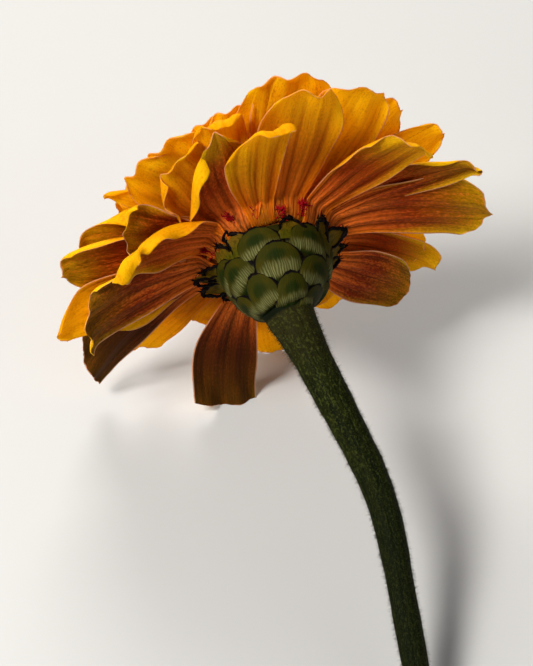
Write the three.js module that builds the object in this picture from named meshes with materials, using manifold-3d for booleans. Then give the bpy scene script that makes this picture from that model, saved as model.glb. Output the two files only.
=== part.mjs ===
import * as THREE from "three";
import { mergeVertices } from "three/addons/utils/BufferGeometryUtils.js";
import Module from "manifold-3d";

// A double zinnia bloom, cut with its stem and laid on its side. Millimetres, +Z up.
// The bloom's axis lies level and its face looks along +Y. The stem runs back along -Y and
// sags until its cut end is on the surface, and the bloom stands on the tips of its lowest petals.

// Where the bloom's centre is: the point on its axis level with the rim of the green cup.
const BLOOM_X = -0.44;
const BLOOM_Y = 33.78;
const BLOOM_HEIGHT = 36.4;

// The green cup of bracts under the petals, measured from the rim back along the axis. Its foot leans, so
// that it meets the stem squarely: below the height from, it comes to the full lean over the distance over.
const CUP_PROFILE = [
  [4.2, -12.6], [5.0, -12.0], [6.2, -10.5], [7.6, -8.6], [8.8, -6.2], [9.6, -3.6], [10.1, -1.2], [10.2, 0.3],
];
const CUP_LEAN = { x: 0.306, y: 0.47, from: -7.6, over: 5 };
const CUP_SIDES = 24;
const CUP_RIM = 0.9;
const BRACT_THICKNESS = 0.9;
const BRACT_PROUD = 0.12;
const CUP_ROOM_RADIUS = 12.4;

// The receptacle that the petals and the florets grow from, a low cone over the cup.
const CORE_PROFILE = [[9.2, 1.2], [9.4, 2.6], [8.6, 4.6], [7.6, 6.6], [6.7, 8.4], [5.9, 9.7]];
const CORE_SIDES = 26;
const NODE_GAP = 0.3;

// Petals.
const PETAL_THICKNESS = 0.6;
const TRACE_STEPS = 60;
const OUTER_GRID = [6, 5];
const SECOND_GRID = [4, 4];

// The stem, from the cup to its cut end. It starts at the joint, which is given from the bloom's centre.
const STEM_LENGTH = 81;
const STEM_JOINT = [-0.35, -12.9, 0];
const STEM_START = 0.15;
const STEM_TOP_RADIUS = 3.5;
const STEM_END_RADIUS = 2.25;
const STEM_TAPER_LENGTH = 52;
const STEM_FLARE = { radius: 0.95, length: 14 };
const STEM_DROP = { start: 24.2, end: 26.5 };
const STEM_TURN = { start: 17, end: -1.8, from: 25.5, to: 48.5 };
const STEM_SIDES = 12;
const STEM_STEPS = 16;

// The button of small florets at the middle of the face.
const BUTTON_RADIUS = 5.1;
const BUTTON_BASE = 10.0;
const BUTTON_RISE = 3.4;
const FLORETS = 24;

const GOLDEN_ANGLE = 137.508;
const rad = (degrees) => (degrees * Math.PI) / 180;
const smooth = (t) => {
  const x = Math.min(Math.max(t, 0), 1);
  return x * x * (3 - 2 * x);
};
const mix = (a, b, t) => a + (b - a) * t;

// A repeatable draw from 0 to 1 for item i and purpose k.
const draw = (i, k) => {
  const x = Math.sin(i * 12.9898 + k * 78.233) * 43758.5453;
  return x - Math.floor(x);
};

const wasm = await Module();
wasm.setup();

// From points and faces to solids, and back to meshes

function solidFrom(points, faces) {
  let triVerts = new Uint32Array(faces.flat());
  const vertProperties = new Float32Array(points.flat());
  let solid = new wasm.Manifold(new wasm.Mesh({ numProp: 3, vertProperties, triVerts }));
  if (solid.volume() < 0) {
    triVerts = new Uint32Array(faces.map(([a, b, c]) => [a, c, b]).flat());
    solid = new wasm.Manifold(new wasm.Mesh({ numProp: 3, vertProperties, triVerts }));
  }
  return solid;
}

function solidFromGeometry(geometry) {
  geometry.deleteAttribute("normal");
  geometry.deleteAttribute("uv");
  const merged = mergeVertices(geometry, 1e-4);
  const position = merged.getAttribute("position");
  const points = [];
  for (let i = 0; i < position.count; i++) {
    points.push([position.getX(i), position.getY(i), position.getZ(i)]);
  }
  const index = merged.getIndex().array;
  const faces = [];
  for (let i = 0; i < index.length; i += 3) {
    const [a, b, c] = [index[i], index[i + 1], index[i + 2]];
    if (a !== b && b !== c && c !== a) faces.push([a, b, c]);
  }
  return solidFrom(points, faces);
}

// Closes two matching grids of points into one solid, both faces cut along the same diagonals.
function closeSheet(front, back) {
  const rows = front.length;
  const cols = front[0].length;
  const at = (side, j, i) => side * rows * cols + j * cols + i;
  const faces = [];
  for (let j = 0; j < rows - 1; j++) {
    for (let i = 0; i < cols - 1; i++) {
      const corner = (side) =>
        [at(side, j, i), at(side, j, i + 1), at(side, j + 1, i + 1), at(side, j + 1, i)];
      const [a, b, c, d] = corner(0);
      faces.push([a, b, c], [a, c, d]);
      const [e, f, g, h] = corner(1);
      faces.push([e, g, f], [e, h, g]);
    }
  }
  const rim = [];
  for (let i = 0; i < cols - 1; i++) rim.push([0, i]);
  for (let j = 0; j < rows - 1; j++) rim.push([j, cols - 1]);
  for (let i = cols - 1; i > 0; i--) rim.push([rows - 1, i]);
  for (let j = rows - 1; j > 0; j--) rim.push([j, 0]);
  rim.forEach(([j, i], k) => {
    const [nj, ni] = rim[(k + 1) % rim.length];
    faces.push([at(0, nj, ni), at(0, j, i), at(1, j, i)], [at(0, nj, ni), at(1, j, i), at(1, nj, ni)]);
  });
  return solidFrom([...front.flat(), ...back.flat()], faces);
}

function offsetGrid(grid, distance) {
  const vector = (p) => new THREE.Vector3(...p);
  const last = (list) => list.length - 1;
  return grid.map((row, j) =>
    row.map((point, i) => {
      const along = vector(grid[Math.min(j + 1, last(grid))][i]).sub(vector(grid[Math.max(j - 1, 0)][i]));
      const across = vector(row[Math.min(i + 1, last(row))]).sub(vector(row[Math.max(i - 1, 0)]));
      const normal = across.cross(along).normalize().multiplyScalar(distance);
      return [point[0] + normal.x, point[1] + normal.y, point[2] + normal.z];
    }),
  );
}

function latheAboutAxis(profile, sides) {
  const outline = profile.map(([r, z]) => new THREE.Vector2(r, z));
  const closed = [new THREE.Vector2(0, profile[0][1]), ...outline, new THREE.Vector2(0, profile.at(-1)[1])];
  return new THREE.LatheGeometry(closed, sides).rotateX(Math.PI / 2);
}

const revolve = (profile, sides) => solidFromGeometry(latheAboutAxis(profile, sides));

const join = (solids) => {
  let list = solids;
  while (list.length > 1) {
    const next = [];
    for (let i = 0; i < list.length; i += 2) {
      next.push(i + 1 < list.length ? list[i].add(list[i + 1]) : list[i]);
    }
    list = next;
  }
  return list[0];
};

// The one connected body, without crumbs and with any shut-in pocket filled.
function mainBody(solid) {
  const bodies = solid.decompose().sort((a, b) => b.volume() - a.volume());
  return bodies[0];
}

// Petals

// Follows a curve whose heading is angleAt(s), and returns a function for the point at any s.
function trace(angleAt, length, steps) {
  const xs = [0];
  const ys = [0];
  for (let i = 0; i < steps; i++) {
    const angle = (angleAt((i * length) / steps) + angleAt(((i + 1) * length) / steps)) / 2;
    xs.push(xs[i] + (Math.cos(angle) * length) / steps);
    ys.push(ys[i] + (Math.sin(angle) * length) / steps);
  }
  return (s) => {
    const t = Math.min(Math.max((s / length) * steps, 0), steps - 1e-9);
    const i = Math.floor(t);
    return [mix(xs[i], xs[i + 1], t - i), mix(ys[i], ys[i + 1], t - i)];
  };
}

const PETAL = {
  rootR: 8.5, rootZ: 2.2, rise: 8, bend: -10, length: 31, width: 7.2, claw: 0.24, broad: 0.68, tip: 0.72,
  round: 0.13, cup: 10, lip: 40, lipLength: 3, left: 20, right: 20, roll: 2.2, sway: 0, rib: 0.35, wave: 0.5,
  phase: 0, notch: 0.03, skew: 0, raise: 0,
};

// One petal's middle surface as a grid of points in the bloom's frame: z runs to the face, azimuth 0 is +X
// and azimuth 90 points down. A petal leaves its root at the angle rise, turns by bend over its length,
// rolls its tip back by lip, and rolls its side margins back by left and right over the band roll.
function petalGrid(options, columns, rows) {
  const q = { ...PETAL, ...options };
  const heading = (s) => {
    const lip = q.lip * smooth((s - (q.length - q.lipLength)) / q.lipLength);
    return rad(q.rise + (q.bend * s) / q.length - lip);
  };
  const spine = trace(heading, q.length, TRACE_STEPS);
  const [sin, cos] = [Math.sin(rad(q.az)), Math.cos(rad(q.az))];
  const grid = [];
  for (let j = 0; j <= rows; j++) {
    const v = 1 - (1 - j / rows) ** 1.25;
    const past = Math.max(0, (v - q.broad) / (1 - q.broad));
    const swell = q.claw + (1 - q.claw) * Math.sin(0.5 * Math.PI * Math.min(v / q.broad, 1)) ** 1.25;
    const half = q.width * swell * (1 - (1 - q.tip) * past ** 2);
    const band = Math.min(q.roll, half * 0.8);
    const side = (roll) =>
      trace((a) => rad(q.cup) * (a / q.width)
        - rad(roll) * smooth((a - (half - band)) / band) * smooth(v * 2.2 - 0.3), half, TRACE_STEPS);
    const sides = [side(q.left), side(q.right)];
    const line = [];
    for (let i = 0; i <= columns; i++) {
      const u = (2 * i) / columns - 1;
      const w = Math.abs(u);
      const dip = q.notch * v ** 6 * Math.exp(-(((w - 0.38) / 0.16) ** 2));
      const s = q.length * (v * (1 - q.round * w ** 2.2 * v ** 2) - dip + q.skew * u * v ** 2 * 0.5);
      let [across, lift] = sides[u < 0 ? 0 : 1](w * half);
      if (u < 0) across = -across;
      lift += q.rib * Math.cos(3 * Math.PI * u) * (1 - v) ** 0.6 * smooth(v * 5) + q.raise * smooth(v * 3);
      lift += q.wave * w ** 3 * v * Math.sin(3.2 * Math.PI * v + q.phase + (u > 0 ? 2.1 : 0));
      lift += q.wave * v ** 8 * Math.cos(2.2 * Math.PI * u + q.phase);
      across += q.sway * (s / q.length) ** 2;
      const [out, up] = spine(s);
      const turn = heading(Math.min(s, q.length));
      const r = q.rootR + out - lift * Math.sin(turn);
      const z = q.rootZ + up + lift * Math.cos(turn);
      line.push([r * cos - across * sin, r * sin + across * cos, z]);
    }
    grid.push(line);
  }
  return grid;
}

function petalSolid(options, columns, rows) {
  const grid = petalGrid(options, columns, rows);
  return closeSheet(offsetGrid(grid, PETAL_THICKNESS / 2), offsetGrid(grid, -PETAL_THICKNESS / 2));
}

// The outer whorl, petal by petal, round the cup from the lowest one. The value raise lays a petal over or
// under its neighbours.
const OUTER = [
  { az: 115, rise: 5, bend: -23.5, length: 29.2, width: 6.7, claw: 0.34, broad: 0.8, tip: 1, round: 0.04,
    cup: -4, lip: 10, lipLength: 2, left: 5, right: 5, sway: -7, skew: 0.1, raise: -0.6 },
  { az: 157.5, rise: 10.4, bend: -11.2, length: 33.3, width: 7, broad: 0.9, tip: 0.85, round: 0.05,
    lip: 20, left: 10, sway: -12.4, skew: -0.08, raise: 0.4 },
  { az: 170.5, rise: 3.5, bend: -18.5, length: 27.7, width: 7.3, broad: 0.9, tip: 0.88, round: 0.04,
    lip: 60, right: 60, roll: 2.5, sway: -3.4, skew: -0.25 },
  { az: 208, rise: 2.5, bend: -41, length: 24, width: 6.9, broad: 0.6, tip: 1.04, round: 0.17, lip: 120,
    lipLength: 5, left: 30, right: 120, roll: 3.6, sway: -7.6, skew: 0.23, raise: -0.6 },
  { az: 238, rise: 0, bend: -4, length: 22.5, width: 6.4, left: 190, right: 0, roll: 4.6, sway: 5,
    skew: 0.3, raise: 0.4 },
  { az: 259, rise: 0, bend: -12.5, length: 26.5, width: 5.6, broad: 0.76, tip: 0.76, lip: 120, lipLength: 4,
    left: 30, sway: 5, skew: 0.36, raise: -0.6 },
  { az: 281, rise: 4, bend: -5.5, length: 29.3, width: 7.5, broad: 0.73, tip: 0.76, lip: 60, lipLength: 2.5,
    right: 10 },
  { az: 298, rise: 7.5, bend: -3.5, length: 28.5, width: 7.8, tip: 0.86, round: 0.11, lip: 50,
    lipLength: 2.5, raise: 0.6 },
  { az: 311.5, rise: 3, bend: -20, length: 27.7, width: 5.5, broad: 0.72, tip: 0.9, round: 0.09, lip: 60,
    left: 60, sway: 1.5, skew: 0.27, raise: -0.6 },
  { az: 330, rise: 5, bend: -18, length: 31, width: 4.4, broad: 0.74, tip: 0.53, lip: 50, sway: 5,
    skew: 0.2, raise: 0.1 },
  { az: 342, rise: 1, bend: -11.5, length: 30, width: 8.6, broad: 0.92, tip: 0.9, round: 0.14, lip: 30,
    sway: 10, skew: -0.12, raise: 0.6 },
  { az: 16.5, rise: 10.5, bend: -9, length: 25.8, width: 4.7, broad: 0.46, tip: 0.83, round: 0.18, lip: 50,
    left: 10, sway: 6, skew: -0.24, raise: 0.9 },
  { az: 33, rise: 5, bend: -2.5, length: 23.6, width: 6.6, broad: 0.63, tip: 0.79, lip: 30, sway: 1,
    skew: 0.12, raise: -0.6 },
];

// The whorl above it, in the order of the first, and the start of a third one at the upper left.
const SECOND_ROOT = { rootR: 8.2, rootZ: 4.3 };
const THIRD_ROOT = { rootR: 7.8, rootZ: 5.2 };
const SECOND = [
  { ...SECOND_ROOT, az: 62, rise: 17, bend: -6.5, length: 21.4, width: 6.3, raise: 0.3 },
  { ...SECOND_ROOT, az: 85.5, rise: 14, bend: -4, length: 29.3, width: 6.6, round: 0.06, raise: -0.3 },
  { ...SECOND_ROOT, az: 115, rise: 16, bend: -1, length: 19.4, width: 6.3 },
  { ...SECOND_ROOT, az: 133, rise: 11.5, bend: -7, length: 29.2, width: 4.7, broad: 0.78, tip: 1.2,
    round: 0.03, skew: 0.13, raise: 0.3 },
  { ...SECOND_ROOT, az: 161.5, rise: 1, bend: -15, length: 32.9, width: 8, broad: 0.75, tip: 0.5,
    round: 0.17, skew: 0.18, raise: 0.2 },
  { ...SECOND_ROOT, az: 180.5, rise: 5.5, bend: -11, length: 29.7, width: 7, tip: 0.7, right: 80, skew: 0.1,
    raise: -0.3 },
  { ...SECOND_ROOT, az: 194.5, rise: 13, bend: -10, length: 25.6, width: 8, broad: 0.73, round: 0.2,
    lip: 60, right: 120, roll: 3.4, sway: -4.6, skew: -0.3, raise: 0.3 },
  { ...SECOND_ROOT, az: 195, rise: 3, bend: -9.5, length: 19.7, width: 6.6, broad: 0.88, tip: 0.86,
    round: 0.02, left: 60, sway: 2, skew: 0.32, raise: -0.6 },
  { ...SECOND_ROOT, az: 224.5, rise: 8.5, bend: -3, length: 19.6, width: 6.6, broad: 0.6, tip: 0.74,
    round: 0.02, lip: 30, left: 60, sway: 4, skew: 0.32, raise: -0.6 },
  { ...SECOND_ROOT, az: 251, rise: 12, bend: -16, length: 25, width: 4.8, broad: 0.87, tip: 0.6,
    round: 0.06, lip: 80, lipLength: 3.5, sway: 1.5, skew: 0.1, raise: -0.3 },
  { ...SECOND_ROOT, az: 274, rise: 10.5, bend: -4.5, length: 28, width: 7 },
  { ...SECOND_ROOT, az: 281.5, rise: 10, bend: -4.5, length: 29.1, width: 7.7, tip: 0.77, sway: -1,
    raise: -0.3 },
  { ...SECOND_ROOT, az: 313, rise: 13, bend: -7, length: 26.5, width: 7.3, raise: 0.6 },
  { ...SECOND_ROOT, az: 332.5, rise: 12, bend: -5.5, length: 29.2, width: 6.3, tip: 0.56, raise: -0.6 },
  { ...SECOND_ROOT, az: 22, rise: 10, bend: -8, length: 24, width: 6.5 },
  { ...THIRD_ROOT, az: 202, rise: 16.5, bend: -11, length: 23.7, width: 4.7, broad: 0.52, tip: 0.2,
    round: 0.19, sway: 1, skew: 0.14 },
  { ...THIRD_ROOT, az: 220.5, rise: 12.5, bend: -11, length: 22.6, width: 6.8, raise: 0.3 },
  { ...THIRD_ROOT, az: 232, rise: 13.5, bend: -9.5, length: 22.7, width: 7.5, lip: 60, sway: 1.3 },
];

// The inner whorls by rule: they grow shorter, narrower and steeper towards the middle.
const INNER = [
  { count: 13, start: 8, rootR: 7.4, rootZ: 6.1, rise: 19, bend: -14, length: 20.5, width: 6.4,
    grid: [4, 3] },
  { count: 11, start: 20, rootR: 6.6, rootZ: 7.4, rise: 31, bend: -16, length: 18, width: 5.8,
    grid: [4, 3] },
  { count: 9, start: 3, rootR: 6.0, rootZ: 8.3, rise: 43, bend: -16, length: 15, width: 5.2,
    grid: [2, 3] },
  { count: 8, start: 14, rootR: 5.6, rootZ: 9.0, rise: 56, bend: -14, length: 11.5, width: 4.0,
    grid: [2, 2] },
];

// Neighbours in an inner whorl lie by turns a little under and over each other.
const stagger = (i) => (i % 2 ? 0.6 : -0.6);

function innerPetals() {
  const petals = [];
  INNER.forEach((whorl, r) => {
    for (let i = 0; i < whorl.count; i++) {
      const k = 40 * (r + 1) + i;
      petals.push(petalSolid({
        rootR: whorl.rootR, rootZ: whorl.rootZ, bend: whorl.bend, width: whorl.width,
        az: whorl.start + (360 * i) / whorl.count + 7 * (draw(k, 1) - 0.5),
        rise: whorl.rise + 7 * (draw(k, 2) - 0.5),
        length: whorl.length * (1 + 0.1 * (draw(k, 3) - 0.5)),
        lip: 30 + 50 * draw(k, 4),
        phase: 6 * draw(k, 5),
        raise: stagger(i),
      }, ...whorl.grid));
    }
  });
  return petals;
}

function rayPetals() {
  const outer = OUTER.map((petal, i) => petalSolid({ ...petal, phase: 6 * draw(i, 6) }, ...OUTER_GRID));
  const second = SECOND.map((petal, i) => petalSolid({ ...petal, phase: 6 * draw(i, 7) }, ...SECOND_GRID));
  const bloom = join([revolve(CORE_PROFILE, CORE_SIDES), ...outer, ...second, ...innerPetals()]);
  const cupRoom = revolve([[CUP_ROOM_RADIUS, -16], [CUP_ROOM_RADIUS, CUP_RIM + NODE_GAP]], 36);
  const buttonReach = BUTTON_RADIUS + 0.4;
  const buttonRoom = revolve([[buttonReach, BUTTON_BASE - NODE_GAP], [buttonReach, 16]], CORE_SIDES);
  return bloom.subtract(cupRoom).subtract(buttonRoom);
}

// The cup of bracts

const cupLengths = CUP_PROFILE.reduce((sums, [r, z], i) => {
  if (i === 0) return [0];
  const [pr, pz] = CUP_PROFILE[i - 1];
  return [...sums, sums[i - 1] + Math.hypot(r - pr, z - pz)];
}, []);

// How far the lean lifts a point of the cup towards the face.
const leanLift = (x, y, z) => smooth((CUP_LEAN.from - z) / CUP_LEAN.over) * (CUP_LEAN.x * x + CUP_LEAN.y * y);

// The point on the cup's side at s along its profile, raised by lift along the side's normal.
function cupPoint(azimuth, s, lift) {
  const t = Math.min(Math.max(s, 0), cupLengths.at(-1) - 1e-6);
  const i = cupLengths.findIndex((length, k) => k + 1 < cupLengths.length && t < cupLengths[k + 1]);
  const f = (t - cupLengths[i]) / (cupLengths[i + 1] - cupLengths[i]);
  const [[ra, za], [rb, zb]] = [CUP_PROFILE[i], CUP_PROFILE[i + 1]];
  const slope = Math.atan2(zb - za, rb - ra);
  const beyond = s - t;
  const r = mix(ra, rb, f) + lift * Math.sin(slope) + beyond * 0.25;
  const z = mix(za, zb, f) - lift * Math.cos(slope) + beyond;
  const [x, y] = [r * Math.cos(rad(azimuth)), r * Math.sin(rad(azimuth))];
  return [x, y, z + leanLift(x, y, z)];
}

// A solid of revolution about the bloom's axis, with the cup's lean.
function revolveLeaning(profile, sides) {
  const geometry = latheAboutAxis(profile, sides);
  const position = geometry.getAttribute("position");
  for (let i = 0; i < position.count; i++) {
    const [x, y, z] = [position.getX(i), position.getY(i), position.getZ(i)];
    position.setZ(i, z + leanLift(x, y, z));
  }
  return solidFromGeometry(geometry);
}

// Rows of bracts from the stem to the rim: where the bract's middle is along the profile, and its half size.
// The slant sets the bracts on the left higher up the cup than those on the right. The flare opens the tips.
const BRACT_ROWS = [
  { count: 7, s: 1.8, start: 224, halfWidth: 3.5, halfHeight: 2.9, lift: 0.35, slant: 1.7, flare: 0.25 },
  { count: 6, s: 5.9, start: 263, halfWidth: 4.7, halfHeight: 3.4, lift: 0.4, slant: 1.85, flare: 0.25 },
  { count: 6, s: 9.9, start: 246, halfWidth: 4.7, halfHeight: 3.3, lift: 0.45, slant: 0, flare: 0.25 },
  { count: 8, s: 11.2, start: 287, halfWidth: 3.6, halfHeight: 2.9, lift: 0.45, slant: 0, flare: 1.0 },
];

function bractSolid(row, azimuth) {
  const middle = row.s - row.slant * Math.cos(rad(azimuth));
  const sheet = (depth) =>
    [-1, 0.35, 1].map((v) =>
      [-1, -0.5, 0, 0.5, 1].map((u) => {
        const half = row.halfWidth * (v < 0 ? 1 - 0.12 * v * v : Math.sqrt(1 - 0.72 * v * v));
        const s = middle + row.halfHeight * v * (1 - (v > 0 ? 0.22 * u * u : 0));
        const [x, y] = cupPoint(0, s, 0);
        const dome = row.lift * (0.35 + 0.65 * (1 - u * u)) * smooth((v + 1.1) * 0.9);
        const flare = row.flare * Math.max(v, 0) ** 3;
        const round = THREE.MathUtils.radToDeg((u * half) / Math.hypot(x, y));
        return cupPoint(azimuth + round, s, dome + flare + depth);
      }));
  return closeSheet(sheet(BRACT_PROUD), sheet(BRACT_PROUD - BRACT_THICKNESS));
}

function involucre() {
  const bracts = BRACT_ROWS.flatMap((row) =>
    Array.from({ length: row.count }, (_, k) => bractSolid(row, row.start + (360 * k) / row.count)));
  const whole = join([revolveLeaning(CUP_PROFILE, CUP_SIDES), ...bracts]);
  const foot = CUP_PROFILE[0][1];
  const overRim = revolve([[16, CUP_RIM], [16, CUP_RIM + 5]], 12);
  const underFoot = revolveLeaning([[9, foot - 5], [9, foot]], 12);
  return whole.subtract(overRim).subtract(underFoot);
}

// The stem

function stemDirection(s) {
  const drop = rad(mix(STEM_DROP.start, STEM_DROP.end, smooth(s / STEM_LENGTH)));
  const bent = smooth((s - STEM_TURN.from) / (STEM_TURN.to - STEM_TURN.from));
  const turn = rad(mix(STEM_TURN.start, STEM_TURN.end, bent));
  return new THREE.Vector3(
    Math.cos(drop) * Math.sin(turn), -Math.cos(drop) * Math.cos(turn), -Math.sin(drop));
}

function stemFrame(s) {
  const point = new THREE.Vector3(...STEM_JOINT);
  const steps = Math.max(1, Math.round(s));
  for (let i = 0; i < steps; i++) point.addScaledVector(stemDirection(((i + 0.5) * s) / steps), s / steps);
  const ahead = stemDirection(s);
  const across = new THREE.Vector3().crossVectors(ahead, new THREE.Vector3(0, 0, 1)).normalize();
  const up = new THREE.Vector3().crossVectors(across, ahead);
  return { point, across, up };
}

function stemRadius(s) {
  const taper = Math.min(1, s / STEM_TAPER_LENGTH);
  const flare = STEM_FLARE.radius * Math.max(0, 1 - s / STEM_FLARE.length) ** 2;
  return mix(STEM_TOP_RADIUS, STEM_END_RADIUS, taper) + flare;
}

// Already in the lying pose, with its origin at the bloom's centre.
function stem() {
  const profile = Array.from({ length: STEM_STEPS + 1 }, (_, i) => {
    const s = mix(STEM_START, STEM_LENGTH, (i / STEM_STEPS) ** 1.15);
    return new THREE.Vector2(stemRadius(s), s);
  });
  const outline = [new THREE.Vector2(0, STEM_START), ...profile, new THREE.Vector2(0, STEM_LENGTH)];
  const geometry = new THREE.LatheGeometry(outline, STEM_SIDES);
  const position = geometry.getAttribute("position");
  for (let i = 0; i < position.count; i++) {
    const [x, s, z] = [position.getX(i), position.getY(i), position.getZ(i)];
    const frame = stemFrame(s);
    const ribbed = 1 + 0.03 * Math.cos(6 * Math.atan2(z, x));
    const p = frame.point.clone().addScaledVector(frame.across, x * ribbed);
    p.addScaledVector(frame.up, z * ribbed);
    position.setXYZ(i, p.x, p.y, p.z);
  }
  return solidFromGeometry(geometry);
}

// The button of florets

const buttonHeight = (r) => {
  const reach = r / (BUTTON_RADIUS + 0.6);
  return BUTTON_BASE + BUTTON_RISE * Math.sqrt(Math.max(0, 1 - reach ** 2));
};

// A small floret: an open five-pointed star near the edge of the button, a shut bud near its middle.
function floretSolid(i) {
  const r = (BUTTON_RADIUS - 0.9) * Math.sqrt((i + 0.5) / FLORETS);
  const azimuth = rad(i * GOLDEN_ANGLE);
  const open = r > 2.2;
  const points = open ? 5 : 3;
  const shape = new THREE.Shape();
  for (let k = 0; k < points * 2; k++) {
    const radius = open ? (k % 2 ? 0.34 : 0.92) : (k % 2 ? 0.36 : 0.42);
    const angle = (Math.PI * k) / points;
    const [x, y] = [radius * Math.cos(angle), radius * Math.sin(angle)];
    if (k === 0) shape.moveTo(x, y);
    else shape.lineTo(x, y);
  }
  const depth = open ? 1.5 : 1.2;
  const geometry = new THREE.ExtrudeGeometry(shape, { depth, bevelEnabled: false });
  const position = geometry.getAttribute("position");
  for (let k = 0; k < position.count; k++) {
    const high = position.getZ(k) > depth / 2;
    const scale = high ? 1 : 0.7;
    const lift = high && open && Math.hypot(position.getX(k), position.getY(k)) > 0.6 ? -0.15 : 0;
    position.setXYZ(k, position.getX(k) * scale, position.getY(k) * scale, position.getZ(k) + lift);
  }
  geometry.rotateZ(i * 0.7);
  const lean = Math.min(0.5, r * 0.1);
  geometry.rotateY(lean);
  geometry.translate(r, 0, buttonHeight(r) - depth + (open ? 0.75 : 0.5));
  geometry.rotateZ(azimuth);
  return solidFromGeometry(geometry);
}

function discFlorets() {
  const profile = [[BUTTON_RADIUS - 0.3, BUTTON_BASE], [BUTTON_RADIUS - 0.2, BUTTON_BASE + 0.7]];
  for (const r of [4, 2.8, 1.4]) profile.push([r, buttonHeight(r)]);
  const florets = Array.from({ length: FLORETS }, (_, i) => floretSolid(i));
  const underBase = revolve([[9, BUTTON_BASE - 4], [9, BUTTON_BASE]], 12);
  return join([revolve(profile, 20), ...florets]).subtract(underBase);
}

// The lying pose

// Turns a solid from the bloom's frame into the lying pose and sets it over the surface.
function layDown(solid, turned = true) {
  const placed = turned ? solid.rotate([-90, 0, 0]) : solid;
  const set = placed.translate([BLOOM_X, BLOOM_Y, BLOOM_HEIGHT]);
  const below = new THREE.BoxGeometry(200, 300, 40);
  below.translate(0, 0, -20);
  return mainBody(set.subtract(solidFromGeometry(below)).simplify(0.02));
}

function meshFrom(solid, name, color, roughness) {
  const { vertProperties, triVerts } = solid.getMesh();
  const geometry = new THREE.BufferGeometry();
  geometry.setAttribute("position", new THREE.BufferAttribute(new Float32Array(vertProperties), 3));
  geometry.setIndex(new THREE.BufferAttribute(new Uint32Array(triVerts), 1));
  geometry.computeVertexNormals();
  const mesh = new THREE.Mesh(geometry, new THREE.MeshStandardMaterial({ color, roughness, metalness: 0 }));
  mesh.name = name;
  return mesh;
}

const flower = new THREE.Group();
flower.add(meshFrom(layDown(stem(), false), "stem", "#4f6a2c", 0.75));
flower.add(meshFrom(layDown(involucre()), "involucre", "#66783a", 0.6));
flower.add(meshFrom(layDown(rayPetals()), "ray_petals", "#e39a1c", 0.55));
flower.add(meshFrom(layDown(discFlorets()), "disc_florets", "#f0c22a", 0.6));

export default flower;
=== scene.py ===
"""A double zinnia bloom on its cut stem, laid on its side.

Fine petals, bracts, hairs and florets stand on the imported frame.
"""

import logging
import math
from dataclasses import dataclass, field, replace
from enum import Enum, IntEnum
from typing import Callable, Sequence

import bpy
import numpy as np
from mathutils import Matrix, Vector


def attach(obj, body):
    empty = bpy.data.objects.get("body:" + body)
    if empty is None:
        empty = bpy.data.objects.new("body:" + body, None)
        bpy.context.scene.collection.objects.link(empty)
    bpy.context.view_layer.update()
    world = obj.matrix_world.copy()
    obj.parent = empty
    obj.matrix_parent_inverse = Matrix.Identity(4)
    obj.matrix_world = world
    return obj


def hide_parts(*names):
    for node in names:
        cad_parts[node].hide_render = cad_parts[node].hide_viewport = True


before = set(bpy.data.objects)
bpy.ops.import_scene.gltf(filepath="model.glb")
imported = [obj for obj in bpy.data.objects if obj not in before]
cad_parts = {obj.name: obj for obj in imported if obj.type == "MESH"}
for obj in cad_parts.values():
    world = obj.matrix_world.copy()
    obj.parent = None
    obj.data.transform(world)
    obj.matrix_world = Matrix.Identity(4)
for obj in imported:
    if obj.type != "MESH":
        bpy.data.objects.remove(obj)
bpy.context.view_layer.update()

LOG = logging.getLogger("zinnia")
MM = 0.001
TAU = 2 * math.pi

# How far the lowest points stay over the floor.
FLOOR_GAP = 0.02 * MM

# The tone of a surface that is the same on every piece.
EVEN_TONE = 0.5

# The least radius of a ring round the bloom's axis, in millimetres.
AXIS_GAP = 0.001

# How far apart the phases of the petals' waves may be, in radians.
PHASES = 6

# The sides of a hem and of a hair, and a direction that their cross-sections are set by.
HEM_SIDES = 6
HAIR_SIDES = 3
ASKEW = (0.31, 0.52, 0.79)

Colour = tuple[float, float, float]
Grid = np.ndarray


class Draw(IntEnum):
    """What a repeatable draw is for."""

    AZIMUTH = 1
    RISE = 2
    LENGTH = 3
    LIP = 4
    PHASE = 5
    OUTER_PHASE = 6
    SECOND_PHASE = 7
    SEED = 11
    TONE = 12
    SECOND_SEED = 13
    SECOND_TONE = 14
    BRACT_TONE = 21
    RIM_LEAN = 23
    RIM_TONE = 24
    FLORET_TONE = 31


def smooth(values: Grid | float) -> Grid:
    """Ease from 0 to 1.

    Args:
        values: Numbers that run through 0 to 1.

    Returns:
        The eased numbers, held at 0 and 1 outside that range.
    """
    held = np.clip(values, 0.0, 1.0)
    return held * held * (3 - 2 * held)


def draw(item: int, purpose: int) -> float:
    """Give a repeatable draw from 0 to 1.

    Args:
        item: The number of the petal or floret.
        purpose: The number of what is drawn for it.

    Returns:
        The draw.
    """
    spread = math.sin(item * 12.9898 + purpose * 78.233) * 43758.5453
    return spread - math.floor(spread)


def middles(values: Grid) -> Grid:
    """Give the values halfway between neighbours."""
    return (values[1:] + values[:-1]) / 2


def trace(turn: Grid, step: float) -> tuple[Grid, Grid]:
    """Follow a line that turns as it goes.

    Args:
        turn: The heading of each of its steps, in radians.
        step: The length of a step.

    Returns:
        How far along and how far up its points are, from 0.
    """
    along, up = (np.concatenate([[0], np.cumsum(way(turn) * step)]) for way in (np.cos, np.sin))
    return along, up


def swing(out: Grid, side: Grid | float, z: Grid | float, angle: Grid | float) -> Grid:
    """Give points by how far they are out along an angle round the bloom's axis.

    Args:
        out: How far out they are.
        side: How far they are to the side of that line.
        z: How high they are along the axis.
        angle: The angle in radians.

    Returns:
        The points.
    """
    cos, sin = np.cos(angle), np.sin(angle)
    x, y = out * cos - side * sin, out * sin + side * cos
    return np.stack([x, y, z + 0 * x], -1)


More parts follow.
